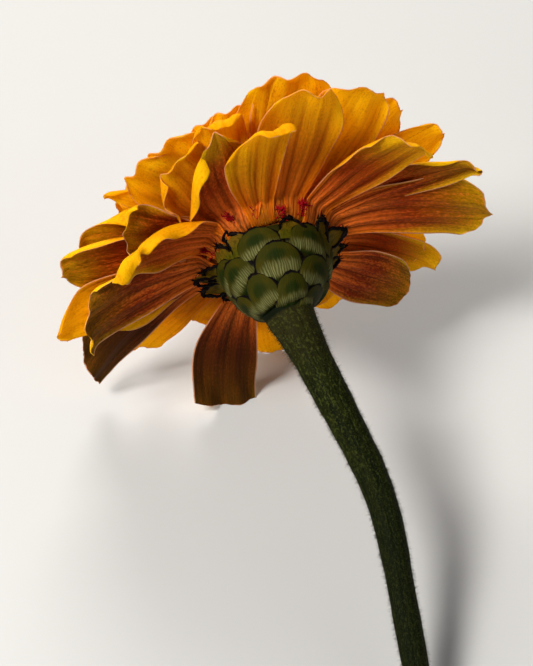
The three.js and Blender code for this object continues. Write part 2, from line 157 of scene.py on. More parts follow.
@dataclass(frozen=True)
class Pose:
    """Where the bloom's centre is in the lying pose, in millimetres."""

    x: float = -0.44
    y: float = 33.78
    height: float = 36.4

    def lay(self, points: Grid) -> Grid:
        """Turn points of the bloom's frame into the lying pose.

        Args:
            points: Points in millimetres, z towards the bloom's face and azimuth 90 downwards.

        Returns:
            The same points in metres in the part's frame.
        """
        x, y, z = points[..., 0], points[..., 1], points[..., 2]
        return np.stack([x + self.x, z + self.y, self.height - y], -1) * MM

    def centre(self) -> Grid:
        """Give the bloom's centre in metres."""
        return np.array([self.x, self.y, self.height]) * MM


POSE = Pose()


# Meshes


@dataclass
class Skin:
    """Gathers the surfaces of one piece and makes its mesh."""

    points: list[Grid] = field(default_factory=list)
    uvs: list[Grid] = field(default_factory=list)
    tones: list[Grid] = field(default_factory=list)
    quads: list[Grid] = field(default_factory=list)
    quad_finish: list[Grid] = field(default_factory=list)
    tris: list[Grid] = field(default_factory=list)
    tri_finish: list[Grid] = field(default_factory=list)
    count: int = 0

    def add_points(self, points: Grid, uv: Grid, tone: float | Grid) -> int:
        """Add points.

        Args:
            points: Points in metres.
            uv: Each point's place on its sheet, from 0 to 1.
            tone: A number that the finishes vary by.

        Returns:
            The first new point's number.
        """
        flat = points.reshape(-1, 3)
        first = self.count
        self.points.append(flat)
        self.uvs.append(uv.reshape(-1, 2))
        self.tones.append(np.broadcast_to(np.asarray(tone, float).reshape(-1), (len(flat),)))
        self.count += len(flat)
        return first

    def add_quads(self, corners: Grid, finish: int) -> None:
        """Add four-sided faces, each with the number of its finish."""
        self.quads.append(corners.reshape(-1, 4))
        self.quad_finish.append(np.full(len(self.quads[-1]), finish))

    def add_tris(self, corners: Grid, finish: int) -> None:
        """Add three-sided faces, each with the number of its finish."""
        self.tris.append(corners.reshape(-1, 3))
        self.tri_finish.append(np.full(len(self.tris[-1]), finish))

    def add_grid(self, points: Grid, uv: Grid, tone: float, finish: int, flip: bool = False,
                 wrap: bool = False) -> Grid:
        """Add one surface from a grid of points.

        Args:
            points: The grid in metres, rows by columns.
            uv: Each point's place on the sheet.
            tone: A number that the finishes vary by.
            finish: The number of the finish.
            flip: Whether the faces look the other way.
            wrap: Whether the last column meets the first.

        Returns:
            The grid of the points' numbers.
        """
        rows, columns = points.shape[:2]
        index = self.add_points(points, uv, tone) + np.arange(rows * columns).reshape(rows, columns)
        ahead = np.concatenate([index, index[:, :1]], 1) if wrap else index
        corners = [ahead[:-1, :-1], ahead[1:, :-1], ahead[1:, 1:], ahead[:-1, 1:]]
        if flip:
            corners.reverse()
        self.add_quads(np.stack(corners, -1), finish)
        return index

    def add_sheet(self, front: Grid, back: Grid, uv: Grid, tone: float,
                  finishes: tuple[int, int, int]) -> None:
        """Add a thin closed sheet.

        Args:
            front: The grid of the side that looks along the rows crossed with the columns.
            back: The grid of the other side.
            uv: Each point's place on the sheet.
            tone: A number that the finishes vary by.
            finishes: The numbers of the front's, the back's and the margin's finish.
        """
        face = self.add_grid(front, uv, tone, finishes[0])
        under = self.add_grid(back, uv, tone, finishes[1], flip=True)

        def loop(index: Grid) -> Grid:
            """Give the numbers round the margin of a grid."""
            return np.concatenate([index[:-1, 0], index[-1, :-1], index[:0:-1, -1], index[0, :0:-1]])

        top, low = loop(face), loop(under)
        ahead, below = np.roll(top, -1), np.roll(low, -1)
        self.add_quads(np.stack([ahead, top, low, below], -1), finishes[2])

    def add_cap(self, ring: Grid, centre: Grid, uv: Grid, tone: float, finish: int,
                flip: bool = False) -> None:
        """Close a ring of points with a fan.

        Args:
            ring: The numbers of the ring's points.
            centre: The fan's middle point in metres.
            uv: The middle point's place on the sheet.
            tone: A number that the finishes vary by.
            finish: The number of the finish.
            flip: Whether the faces look the other way.
        """
        middle = self.add_points(centre.reshape(1, 3), uv.reshape(1, 2), tone)
        ahead = np.roll(ring, -1)
        corners = [ring, ahead, np.full(len(ring), middle)]
        if flip:
            corners.reverse()
        self.add_tris(np.stack(corners, -1), finish)

    def build(self, name: str, finishes: Sequence[bpy.types.Material]) -> bpy.types.Object:
        """Make the piece.

        Args:
            name: The piece's name.
            finishes: Its materials, in the order of the faces' finish numbers.

        Returns:
            The object, linked to the scene.
        """
        mesh = bpy.data.meshes.new(name)
        points = np.concatenate(self.points)
        quads = np.concatenate(self.quads) if self.quads else np.zeros((0, 4), int)
        tris = np.concatenate(self.tris) if self.tris else np.zeros((0, 3), int)
        corners = np.concatenate([quads.ravel(), tris.ravel()]).astype(np.int32)
        tri_starts = len(quads) * 4 + np.arange(len(tris)) * 3
        starts = np.concatenate([np.arange(len(quads)) * 4, tri_starts]).astype(np.int32)
        slots = np.concatenate(self.quad_finish + self.tri_finish).astype(np.int32)
        mesh.vertices.add(len(points))
        mesh.vertices.foreach_set("co", points.astype(np.float32).ravel())
        mesh.loops.add(len(corners))
        mesh.loops.foreach_set("vertex_index", corners)
        mesh.polygons.add(len(starts))
        mesh.polygons.foreach_set("loop_start", starts)
        layer = mesh.uv_layers.new(name="sheet")
        layer.data.foreach_set("uv", np.concatenate(self.uvs)[corners].astype(np.float32).ravel())
        tone = mesh.attributes.new("tone", "FLOAT", "POINT")
        tone.data.foreach_set("value", np.concatenate(self.tones).astype(np.float32))
        for finish in finishes:
            mesh.materials.append(finish)
        mesh.polygons.foreach_set("material_index", slots)
        mesh.update(calc_edges=True)
        mesh.validate()
        mesh.shade_smooth()
        piece = bpy.data.objects.new(name, mesh)
        bpy.context.scene.collection.objects.link(piece)
        LOG.info("%s: %d points, %d faces", name, len(points), len(starts))
        return piece


def sheet_uv(rows: int, columns: int) -> Grid:
    """Give the places from 0 to 1 across and along a sheet of rows by columns points."""
    across, along = np.meshgrid(np.linspace(0, 1, columns), np.linspace(0, 1, rows))
    return np.stack([across, along], -1)


def thicken(surface: Grid, thickness: Grid) -> tuple[Grid, Grid]:
    """Give the two sides of a sheet.

    Args:
        surface: The middle surface as a grid of points.
        thickness: The thickness at each point.

    Returns:
        The side that looks along the rows crossed with the columns, and the other side.
    """
    along = np.gradient(surface, axis=0)
    across = np.gradient(surface, axis=1)
    normal = np.cross(along, across)
    normal /= np.linalg.norm(normal, axis=-1, keepdims=True) + 1e-12
    shift = normal * thickness[..., None] / 2
    return surface + shift, surface - shift


def settle(piece: bpy.types.Object, node: str) -> None:
    """Fix a piece to the part, in place of a solid.

    Args:
        piece: The piece.
        node: The solid that it stands for.
    """
    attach(piece, "root")
    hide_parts(node)


# Shader language


class Flow:
    """A number or colour that runs between shader nodes; arithmetic on it adds Math nodes."""

    def __init__(self, recipe: "Recipe", socket: bpy.types.NodeSocket) -> None:
        """Wrap a node's output socket."""
        self.recipe = recipe
        self.socket = socket

    def _maths(self, operation: str, *values: "Flow | float") -> "Flow":
        """Add a Math node for an operation on some values."""
        return self.recipe.node("ShaderNodeMath", {"operation": operation}, dict(enumerate(values)))

    def __add__(self, other: "Flow | float") -> "Flow":
        """Add."""
        return self._maths("ADD", self, other)

    def __sub__(self, other: "Flow | float") -> "Flow":
        """Subtract."""
        return self._maths("SUBTRACT", self, other)

    def __rsub__(self, other: float) -> "Flow":
        """Subtract from a number."""
        return self._maths("SUBTRACT", other, self)

    def __mul__(self, other: "Flow | float") -> "Flow":
        """Multiply."""
        return self._maths("MULTIPLY", self, other)

    def __pow__(self, other: float) -> "Flow":
        """Raise to a power."""
        return self._maths("POWER", self, other)

    __radd__ = __add__
    __rmul__ = __mul__

    def cos(self) -> "Flow":
        """Take the cosine."""
        return self._maths("COSINE", self)

    def size(self) -> "Flow":
        """Take the value without its sign."""
        return self._maths("ABSOLUTE", self)

    def most(self, other: "Flow | float") -> "Flow":
        """Take the greater of two values."""
        return self._maths("MAXIMUM", self, other)

    def least(self, other: "Flow | float") -> "Flow":
        """Take the lesser of two values."""
        return self._maths("MINIMUM", self, other)

    def ease(self, low: float, high: float) -> "Flow":
        """Ease from 0 at low to 1 at high."""
        settings = {"interpolation_type": "SMOOTHSTEP"}
        return self.recipe.node("ShaderNodeMapRange", settings, {0: self, 1: low, 2: high, 3: 0.0, 4: 1.0})

    def fall(self, low: float, high: float) -> "Flow":
        """Ease from 1 at low to 0 at high."""
        return 1.0 - self.ease(low, high)

    def spread(self, reach: float) -> "Flow":
        """Turn a share from 0 to 1 into a shift of half the reach either way."""
        return (self - 0.5) * reach

    def crests(self, count: int) -> "Flow":
        """Give that many soft crests over a sheet from -1 to 1, the middle one at 0."""
        return (self * (count * math.pi)).cos() * 0.5 + 0.5


def opaque(colour: "Flow | Colour") -> "Flow | tuple[float, ...]":
    """Give a plain colour its fourth number; a flow stays as it is."""
    return (*colour, 1.0) if isinstance(colour, tuple) else colour


class Recipe:
    """Builds one material's nodes."""

    RELIEF = 0.8
    GLOSS = 0.04

    def __init__(self, name: str) -> None:
        """Start an empty material.

        Args:
            name: The material's name.
        """
        self.material = bpy.data.materials.new(name)
        self.material.use_nodes = True
        self.tree = self.material.node_tree
        self.tree.nodes.clear()

    def _add(self, kind: str, settings: dict[str, object] | None,
             inputs: dict[int | str, object] | None) -> bpy.types.Node:
        """Add a node and give the node itself.

        Args:
            kind: The node's type.
            settings: Its properties, set first.
            inputs: Values or links of its sockets, by number or name.

        Returns:
            The node.
        """
        made = self.tree.nodes.new(kind)
        for key, value in (settings or {}).items():
            setattr(made, key, value)
        for key, value in (inputs or {}).items():
            if isinstance(value, Flow):
                self.tree.links.new(value.socket, made.inputs[key])
            else:
                made.inputs[key].default_value = value
        return made

    def node(self, kind: str, settings: dict[str, object] | None = None,
             inputs: dict[int | str, object] | None = None, output: int | str = 0) -> Flow:
        """Add a node and give one of its outputs.

        Args:
            kind: The node's type.
            settings: Its properties, set first.
            inputs: Values or links of its sockets, by number or name.
            output: Which output to give back.

        Returns:
            The output as a flow.
        """
        return Flow(self, self._add(kind, settings, inputs).outputs[output])

    def blend(self, amount: Flow | float, first: Flow | Colour, second: Flow | Colour) -> Flow:
        """Blend two colours.

        Args:
            amount: How much of the second colour, from 0 to 1.
            first: The first colour.
            second: The second colour.

        Returns:
            The blended colour.
        """
        settings = {"data_type": "RGBA", "blend_type": "MIX"}
        return self.node("ShaderNodeMix", settings, {0: amount, 6: opaque(first), 7: opaque(second)}, 2)

    def place(self) -> tuple[Flow, Flow, Flow]:
        """Give the sheet's places.

        Returns:
            The place across from -1 to 1, the place along from 0 to 1, and the piece's tone.
        """
        layer = self.node("ShaderNodeUVMap", {"uv_map": "sheet"})
        parts = self._add("ShaderNodeSeparateXYZ", None, {0: layer})
        across = Flow(self, parts.outputs[0]) * 2.0 - 1.0
        tone = self.node("ShaderNodeAttribute", {"attribute_name": "tone"}, output="Fac")
        return across, Flow(self, parts.outputs[1]), tone

    def grain(self, x: Flow, y: Flow, z: Flow, detail: float = 2.0, rough: float = 0.5) -> Flow:
        """Give noise from 0 to 1 at a point.

        Args:
            x: First coordinate, already scaled.
            y: Second coordinate, already scaled.
            z: Third coordinate, already scaled.
            detail: How many finer layers the noise has.
            rough: How strong those layers are.

        Returns:
            The noise.
        """
        point = self.node("ShaderNodeCombineXYZ", inputs={0: x, 1: y, 2: z})
        inputs = {"Vector": point, "Scale": 1.0, "Detail": detail, "Roughness": rough}
        return self.node("ShaderNodeTexNoise", inputs=inputs)

    def finish(self, colour: Flow | Colour, roughness: Flow | float, relief: Flow | None = None,
               depth: float = 0.0, glow: Colour | None = None,
               share: Flow | float = 0.0) -> bpy.types.Material:
        """Close the material.

        Args:
            colour: The surface colour.
            roughness: The surface roughness.
            relief: Height of the small relief, from 0 to 1.
            depth: That relief's depth in metres.
            glow: The colour of light that comes through a thin sheet.
            share: How much of the light comes through.

        Returns:
            The material.
        """
        inputs: dict[int | str, object] = {
            "Base Color": opaque(colour), "Roughness": roughness, "Specular IOR Level": self.GLOSS}
        if relief is not None:
            bump = {"Strength": self.RELIEF, "Distance": depth, "Height": relief}
            inputs["Normal"] = self.node("ShaderNodeBump", inputs=bump)
        surface = self.node("ShaderNodeBsdfPrincipled", inputs=inputs)
        if glow is not None:
            through = self.node("ShaderNodeBsdfTranslucent", inputs={"Color": opaque(glow)})
            surface = self.node("ShaderNodeMixShader", inputs={0: share, 1: surface, 2: through})
        self._add("ShaderNodeOutputMaterial", None, {"Surface": surface})
        return self.material


class Side(Enum):
    """Which side of a petal a finish covers."""

    FRONT = "front"
    BACK = "back"


@dataclass(frozen=True)
class Run:
    """Colours that follow each other from the foot of a blade to its tip, and the colour of its veins."""

    foot: Colour
    middle: Colour
    tip: Colour
    vein: Colour
    lower: tuple[float, float] = (0.08, 0.52)
    upper: tuple[float, float] = (0.42, 0.96)

    def paint(self, recipe: Recipe, along: Flow) -> Flow:
        """Lay the colours along the blade.

        Args:
            recipe: The material that they are for.
            along: The place from the foot at 0 to the tip at 1.

        Returns:
            The colour there.
        """
        foot = recipe.blend(along.ease(*self.lower), self.foot, self.middle)
        return recipe.blend(along.ease(*self.upper), foot, self.tip)


@dataclass(frozen=True)
class PetalFinish:
    """The skin of one side of the petals, which goes from fresh to rusty with the petal's tone; the highest
    tones also carry painted shade.
    """

    name: str
    side: Side
    fresh: Run
    rusty: Run
    margin: Colour = (0.66, 0.30, 0.16)
    # Painted glow: the bright orange of light shining through the sides of the petals near the foot.
    painted_glow: Colour = (0.86, 0.150, 0.002)
    # Painted shade: the dark brown of the lower petals that face away from the light.
    turned_away_shade: Colour = (0.034, 0.010, 0.001)
    wine: Colour = (0.20, 0.008, 0.002)
    # Painted shade: the colour that the petal's foot darkens to, where the cup shades it.
    heel: Colour = (0.16, 0.042, 0.004)
    main_veins: int = 3
    fine_veins: int = 9
    veins: float = 0.8
    depth: float = 0.0003
    glow: Colour = (0.98, 0.56, 0.003)
    share: float = 0.44

    def material(self) -> bpy.types.Material:
        """Make the material.

        Returns:
            The material, with veins in the grooves that are partly painted shade, fine streaks, painted shade
            at the foot, and on the back a thin pale margin, a painted glow by the foot and painted shade on
            the highest tones.
        """
        recipe = Recipe(self.name)
        across, along, tone = recipe.place()
        side = across.size()
        drift = recipe.grain(across * 1.5, along * 2.2, tone * 9.0)
        bent = across + drift.spread(0.12)
        streak = recipe.grain(bent * 15.0, along * 1.5, tone * 31.0, 2.0, 0.7)
        mottle = recipe.grain(across * 3.2, along * 4.5, tone * 17.0, 3.0)
        cells = recipe.grain(across * 24.0, along * 48.0, tone * 5.0, 1.0)

        # Age goes from fresh to rusty, and less so at the margins and the tip.
        place = along + mottle.spread(0.3)
        worn = (1.0 - side.ease(0.60, 1.0) * 0.5) * (1.0 - along.ease(0.35, 0.95) * (1.1 - tone))
        age = (tone * worn + mottle.spread(0.6) * tone).ease(0.0, 0.62)
        colour = recipe.blend(age, self.fresh.paint(recipe, place), self.rusty.paint(recipe, place))
        # Painted shade: the foot darkens towards the heel colour, where the cup shades it.
        colour = recipe.blend(along.fall(0.03, 0.17) * 0.75, colour, self.heel)

        # Veins lie in the furrows and fade towards the tip; their dark colour there is partly painted shade
        # of the furrows.
        vein = recipe.blend(age, self.fresh.vein, self.rusty.vein)
        main = bent.crests(self.main_veins) ** 6.0
        fine = bent.crests(self.fine_veins) ** 4.0
        fine = fine * (streak * 1.2 + along.fall(0.02, 0.20) * 0.3)
        veins_and_furrow_shade = (main * 0.95).most(fine) * along.fall(0.30, 0.95)
        colour = recipe.blend(veins_and_furrow_shade * self.veins, colour, vein)

        # Streaks, mottle and cells lighten and darken the skin.
        shade = streak.spread(1.8) + mottle.spread(0.8) + cells.spread(1.8)
        light = self.fresh.tip
        if self.side is Side.BACK:
            light = recipe.blend(age, self.fresh.tip, self.rusty.foot)
        colour = recipe.blend(shade.most(0.0) * 0.9, colour, light)
        colour = recipe.blend((shade * -1.0).most(0.0) * 1.1, colour, vein)
        if self.side is Side.BACK:
            # Painted glow: the sides near the foot turn bright orange, as if light shone through them.
            painted_glow = side.ease(0.5, 0.95) * along.fall(0.10, 0.45) * (0.3 + mottle)
            colour = recipe.blend(painted_glow * 0.5, colour, self.painted_glow)
            flush = veins_and_furrow_shade * mottle.ease(0.48, 0.66) * age * along.fall(0.25, 0.6)
            colour = recipe.blend(flush * 0.6, colour, self.wine)
            # Painted shade: the petals of the highest tone, the lower ones that face away from the light,
            # darken from the foot towards the tip.
            colour = recipe.blend(tone.ease(0.86, 1.0) * along.ease(0.02, 0.55) * 0.86, colour, self.turned_away_shade)
            edge = (side.ease(0.962, 0.985) * along.ease(0.12, 0.3)).most(along.ease(0.978, 0.99))
            colour = recipe.blend(edge * 0.75, colour, self.margin)
        relief = streak * 0.5 + (1.0 - veins_and_furrow_shade) * 0.7 + mottle * 0.4 + cells * 0.25
        share = (1.0 - tone.ease(0.4, 0.95) * 0.97) * self.share
        return recipe.finish(colour, 0.50 + mottle * 0.25, relief, self.depth, self.glow, share)


@dataclass(frozen=True)
class BractFinish:
    """The skin of the green bracts: pale streaks over the foot, a deep green middle and a black margin."""

    name: str = "bract_green"
    green: Colour = (0.024, 0.024, 0.001)
    olive: Colour = (0.040, 0.030, 0.001)
    deep: Colour = (0.006, 0.014, 0.001)
    pale: Colour = (0.20, 0.20, 0.075)
    black: Colour = (0.003, 0.002, 0.002)
    half_size: tuple[float, float] = (4.0, 3.3)
    margin: tuple[float, float] = (0.38, 0.54)
    stripes: int = 21
    depth: float = 0.00022

    def material(self) -> bpy.types.Material:
        """Make the material.

        Returns:
            The material.
        """
        recipe = Recipe(self.name)
        across, along, tone = recipe.place()
        side = across.size()
        streak = recipe.grain(across * 17.0, along * 1.2, tone * 23.0, 2.0, 0.6)
        mottle = recipe.grain(across * 3.0, along * 3.0, tone * 7.0, 3.0)
        rough = recipe.grain(across * 9.0, along * 9.0, tone * 3.0)
        up = along + streak.spread(0.35)
        stripe = (across + mottle.spread(0.22)).crests(self.stripes)
        above = along - 0.62
        centre = (across * across * 2.2 + above * above * 15.0).fall(0.0, 0.60)
        colour = recipe.blend((mottle - 0.40).ease(0.0, 0.3) * 0.7, self.green, self.olive)
        colour = recipe.blend(centre * (0.35 + streak), colour, self.deep)
        zone = up.ease(0.14, 0.26) * up.fall(0.36, 0.54) * (1.0 - side.ease(0.45, 0.85) * 0.7)
        pale = zone * (0.10 + stripe * (streak - 0.2).most(0.0) * 1.55)
        colour = recipe.blend(pale, colour, self.pale)
        # Painted shade: the foot of each bract darkens to the deep green, as the crease there is shaded.
        colour = recipe.blend(along.fall(0.10, 0.22), colour, self.deep)

        # The black margin is as wide in millimetres at the sides as at the top.
        rise = (along * 2.0 - 1.0).most(0.0)
        side_gap = (1.0 - side) * (1.0 - rise * rise * 0.78) ** 0.5 * (self.half_size[0] * 0.75)
        gap = side_gap.least((1.0 - along) * (2 * self.half_size[1])) + rough.spread(0.22)
        colour = recipe.blend(gap.fall(*self.margin) * along.ease(0.28, 0.45), colour, self.black)
        return recipe.finish(colour, 0.60 + mottle * 0.2, streak * 0.7 + mottle * 0.5, self.depth)


@dataclass(frozen=True)
class PlainFinish:
    """A finish that runs from one colour at the foot of a piece to another at its tip, with a fine grain."""

    name: str
    foot: Colour
    tip: Colour
    dark: Colour
    turn: tuple[float, float] = (0.2, 0.9)
    scale: tuple[float, float] = (6.0, 6.0)
    rough: float = 0.5
    depth: float = 0.00015
    glow: Colour | None = None
    share: float = 0.15

    def material(self) -> bpy.types.Material:
        """Make the material.

        Returns:
            The material.
        """
        recipe = Recipe(self.name)
        across, along, tone = recipe.place()
        grain = recipe.grain(across * self.scale[0], along * self.scale[1], tone * 13.0, 3.0)
        colour = recipe.blend((along + grain.spread(0.3)).ease(*self.turn), self.foot, self.tip)
        colour = recipe.blend((0.56 - grain).ease(0.0, 0.25) * 0.6, colour, self.dark)
        colour = recipe.blend((tone - 0.5).most(0.0) * 0.5, colour, self.tip)
        return recipe.finish(colour, self.rough + grain * 0.15, grain, self.depth, self.glow, self.share)


# Petals


@dataclass(frozen=True)
class Petal:
    """One petal in the bloom's frame: z runs to the face, azimuth 0 is +X and azimuth 90 points down."""

    SECTION_STEPS = 60
    SPINE_STEPS = 80
    CROWDING = 1.25
    SWELL = 1.25
    PLEATS = 15.0
    NOTCH_PLACE = 0.38
    NOTCH_WIDTH = 0.16
    FRAY = 0.005
    HEEL_REACH = 4.8
    FINE_RIB = 0.09
    FOLDS = 4
    az: float = 0.0
    root_r: float = 8.5
    root_z: float = 2.2
    rise: float = 8.0
    bend: float = -10.0
    length: float = 31.0
    width: float = 7.2
    claw: float = 0.24
    broad: float = 0.68
    tip: float = 0.72
    round_off: float = 0.13
    cup: float = 10.0
    lip: float = 40.0
    lip_length: float = 3.0
    left: float = 20.0
    right: float = 20.0
    roll: float = 2.2
    sway: float = 0.0
    rib: float = 0.35
    wave: float = 0.5
    phase: float = 0.0
    notch: float = 0.012
    skew: float = 0.0
    lift: float = 0.0
    crumple: float = 0.16
    seed: float = 0.0
    blush: float = 0.15
    heel: tuple[float, float] = (0.0, 0.0)

    def _section(self, half: float, along: float, roll: float, across: Grid) -> tuple[Grid, Grid]:
        """Follow one half of the cross-section out from the midrib.

        Args:
            half: The half width there.
            along: The place along the petal from 0 to 1.
            roll: How far the margin rolls back, in degrees.
            across: Distances from the midrib.

        Returns:
            How far out and how far up the section is at those distances.
        """
        band = min(self.roll, half * 0.8)
        run = np.linspace(0, half, self.SECTION_STEPS + 1)
        pleat = 1 + self.crumple * math.sin(self.PLEATS * along + self.phase)
        rolled = math.radians(roll) * pleat * smooth((run - (half - band)) / band)
        turn = math.radians(self.cup) * run / self.width - rolled * smooth(along * 2.2 - 0.3)
        out, up = trace(middles(turn), half / self.SECTION_STEPS)
        return np.interp(across, run, out), np.interp(across, run, up)

    def surface(self, columns: int, rows: int) -> Grid:
        """Give the petal's middle surface.

        Args:
            columns: Cells across the petal.
            rows: Cells along it.

        Returns:
            A grid of rows + 1 by columns + 1 points in millimetres.
        """
        u = np.linspace(-1, 1, columns + 1)
        v = 1 - (1 - np.linspace(0, 1, rows + 1)) ** self.CROWDING
        across, along = np.meshgrid(u, v)
        away = np.abs(across)
        grown = np.sin(0.5 * math.pi * np.minimum(v / self.broad, 1)) ** self.SWELL
        past = np.clip((v - self.broad) / (1 - self.broad), 0, 1)
        half = self.width * (self.claw + (1 - self.claw) * grown) * (1 - (1 - self.tip) * past ** 2)

        # How far along the midrib each point lies: the tip is rounded, notched, frayed and skewed.
        dip = self.notch * along ** 6 * np.exp(-(((away - self.NOTCH_PLACE) / self.NOTCH_WIDTH) ** 2))
        fray = np.sin(across * 9 + self.seed * 40) * np.sin(across * 17 + self.seed * 70)
        place = along * (1 - self.round_off * away ** 2.2 * along ** 2) - dip - self.FRAY * along ** 8 * fray
        place = self.length * (place + self.skew * across * along ** 2 * 0.5)

        # The midrib bends from foot to tip and ends in a lip.
        fine = np.linspace(0, self.length, self.SPINE_STEPS + 1)
        lip = self.lip * smooth((fine - (self.length - self.lip_length)) / self.lip_length)
        heading = np.radians(self.rise + self.bend * fine / self.length - lip)
        reach, climb = trace(middles(heading), self.length / self.SPINE_STEPS)
        out, up, turn = (np.interp(place, fine, table) for table in (reach, climb, heading))
        side = np.zeros_like(across)
        rise = np.zeros_like(across)
        for j, wide in enumerate(half):
            for sign, roll in ((-1, self.left), (1, self.right)):
                pick = u * sign >= 0
                x, y = self._section(float(wide), float(v[j]), roll, np.abs(u[pick]) * wide)
                side[j, pick] = sign * x
                rise[j, pick] = y
        rise += self._furrows(across, along)
        side += self.sway * (place / self.length) ** 2
        near = 1 - smooth(place / self.HEEL_REACH)
        r = self.root_r + out - rise * np.sin(turn) + self.heel[0] * near
        z = self.root_z + up + rise * np.cos(turn) + self.heel[1] * near
        return swing(r, side, z, math.radians(self.az))

    def _furrows(self, across: Grid, along: Grid) -> Grid:
        """Give how far the blade stands over its plain form, in millimetres.

        Args:
            across: Places across the petal from -1 to 1.
            along: Places along it from 0 to 1.

        Returns:
            The ribs, the lift over its neighbours, the waves of its margin and the small folds.
        """
        rise = self.rib * np.cos(3 * math.pi * across) * (1 - along) ** 0.6 * smooth(along * 5)
        rise += self.FINE_RIB * np.cos(9 * math.pi * across) * (1 - along) ** 0.4 * smooth(along * 5)
        rise += self.lift * (0.25 + 0.75 * smooth(along * 3))
        ripple = np.sin(3.2 * math.pi * along + self.phase + (across > 0) * 2.1)
        rise += self.wave * np.abs(across) ** 3 * along * ripple
        rise += self.wave * along ** 8 * np.cos(2.2 * math.pi * across + self.phase)
        for k in range(self.FOLDS):
            a, b, c = (draw(int(self.seed * 997) + 7, k * 3 + n) for n in range(3))
            fold = np.sin((2 + 3.5 * a) * across + (5 + 9 * b) * along + TAU * c)
            rise += self.crumple * (0.6 + 0.4 * a) * along * fold
        return rise


# The outer whorl follows the flower petal by petal, from the lowest one round the left side.
OUTER = (
    Petal(az=115, blush=1.02, rise=5, bend=-23.5, length=29.2, width=6.7, claw=0.34, broad=0.8, tip=1.0,
          round_off=0.04, cup=-4, lip=10, lip_length=2, left=5, right=5, sway=-7, skew=0.1, lift=-0.6),
    Petal(az=157.5, blush=1.04, rise=10.4, bend=-11.2, length=33.3, width=7, broad=0.9, tip=0.85,
          round_off=0.05, lip=20, left=10, sway=-12.4, skew=-0.08, lift=0.4),
    Petal(az=170.5, blush=0.93, rise=3.5, bend=-18.5, length=27.7, width=7.3, broad=0.9, tip=0.88,
          round_off=0.04, lip=60, right=60, roll=2.5, sway=-3.4, skew=-0.25),
    Petal(az=208, blush=0.6, rise=2.5, bend=-41, length=24, width=6.9, broad=0.6, tip=1.04, round_off=0.17,
          lip=120, lip_length=5, left=30, right=120, roll=3.6, sway=-7.6, skew=0.23, lift=-0.6, crumple=0.3),
    Petal(az=238, blush=0.72, rise=0, bend=-4, length=22.6, width=8.2, broad=0.38, tip=0.4, round_off=0.2,
          lip=15, left=140, right=0, roll=3.6, sway=7.4, skew=0.12, lift=0.4, crumple=0.15),
    Petal(az=259, blush=0.3, rise=0, bend=-12.5, length=26.5, width=5.6, broad=0.76, tip=0.76, lip=120,
          lip_length=4, left=30, sway=5, skew=0.36, lift=-0.6),
    Petal(az=281, blush=0.42, rise=4, bend=-5.5, length=29.3, width=7.5, broad=0.73, tip=0.76, lip=60,
          lip_length=2.5, right=10),
    Petal(az=298, blush=0.02, rise=7.5, bend=-3.5, length=28.5, width=7.8, tip=0.86, round_off=0.11, lip=50,
          lip_length=2.5, lift=0.6),
    Petal(az=311.5, blush=0.62, rise=3, bend=-20, length=27.7, width=5.5, broad=0.72, tip=0.9,
          round_off=0.09, lip=60, left=60, sway=1.5, skew=0.27, lift=-0.6),
    Petal(az=330, blush=0.84, rise=5, bend=-18, length=31, width=4.4, broad=0.74, tip=0.53, lip=50, sway=5,
          skew=0.2, lift=0.1),
    Petal(az=342, blush=0.78, rise=1, bend=-11.5, length=30, width=8.6, broad=0.92, tip=0.9, round_off=0.14,
          lip=30, sway=10, skew=-0.12, lift=0.6),
    Petal(az=16.5, blush=0.6, rise=10.5, bend=-9, length=25.8, width=4.7, broad=0.46, tip=0.83,
          round_off=0.18, lip=50, left=10, sway=6, skew=-0.24, lift=0.9),
    Petal(az=33, blush=0.95, rise=5, bend=-2.5, length=23.6, width=6.6, broad=0.63, tip=0.79, lip=30,
          sway=1, skew=0.12, lift=-0.6),
)

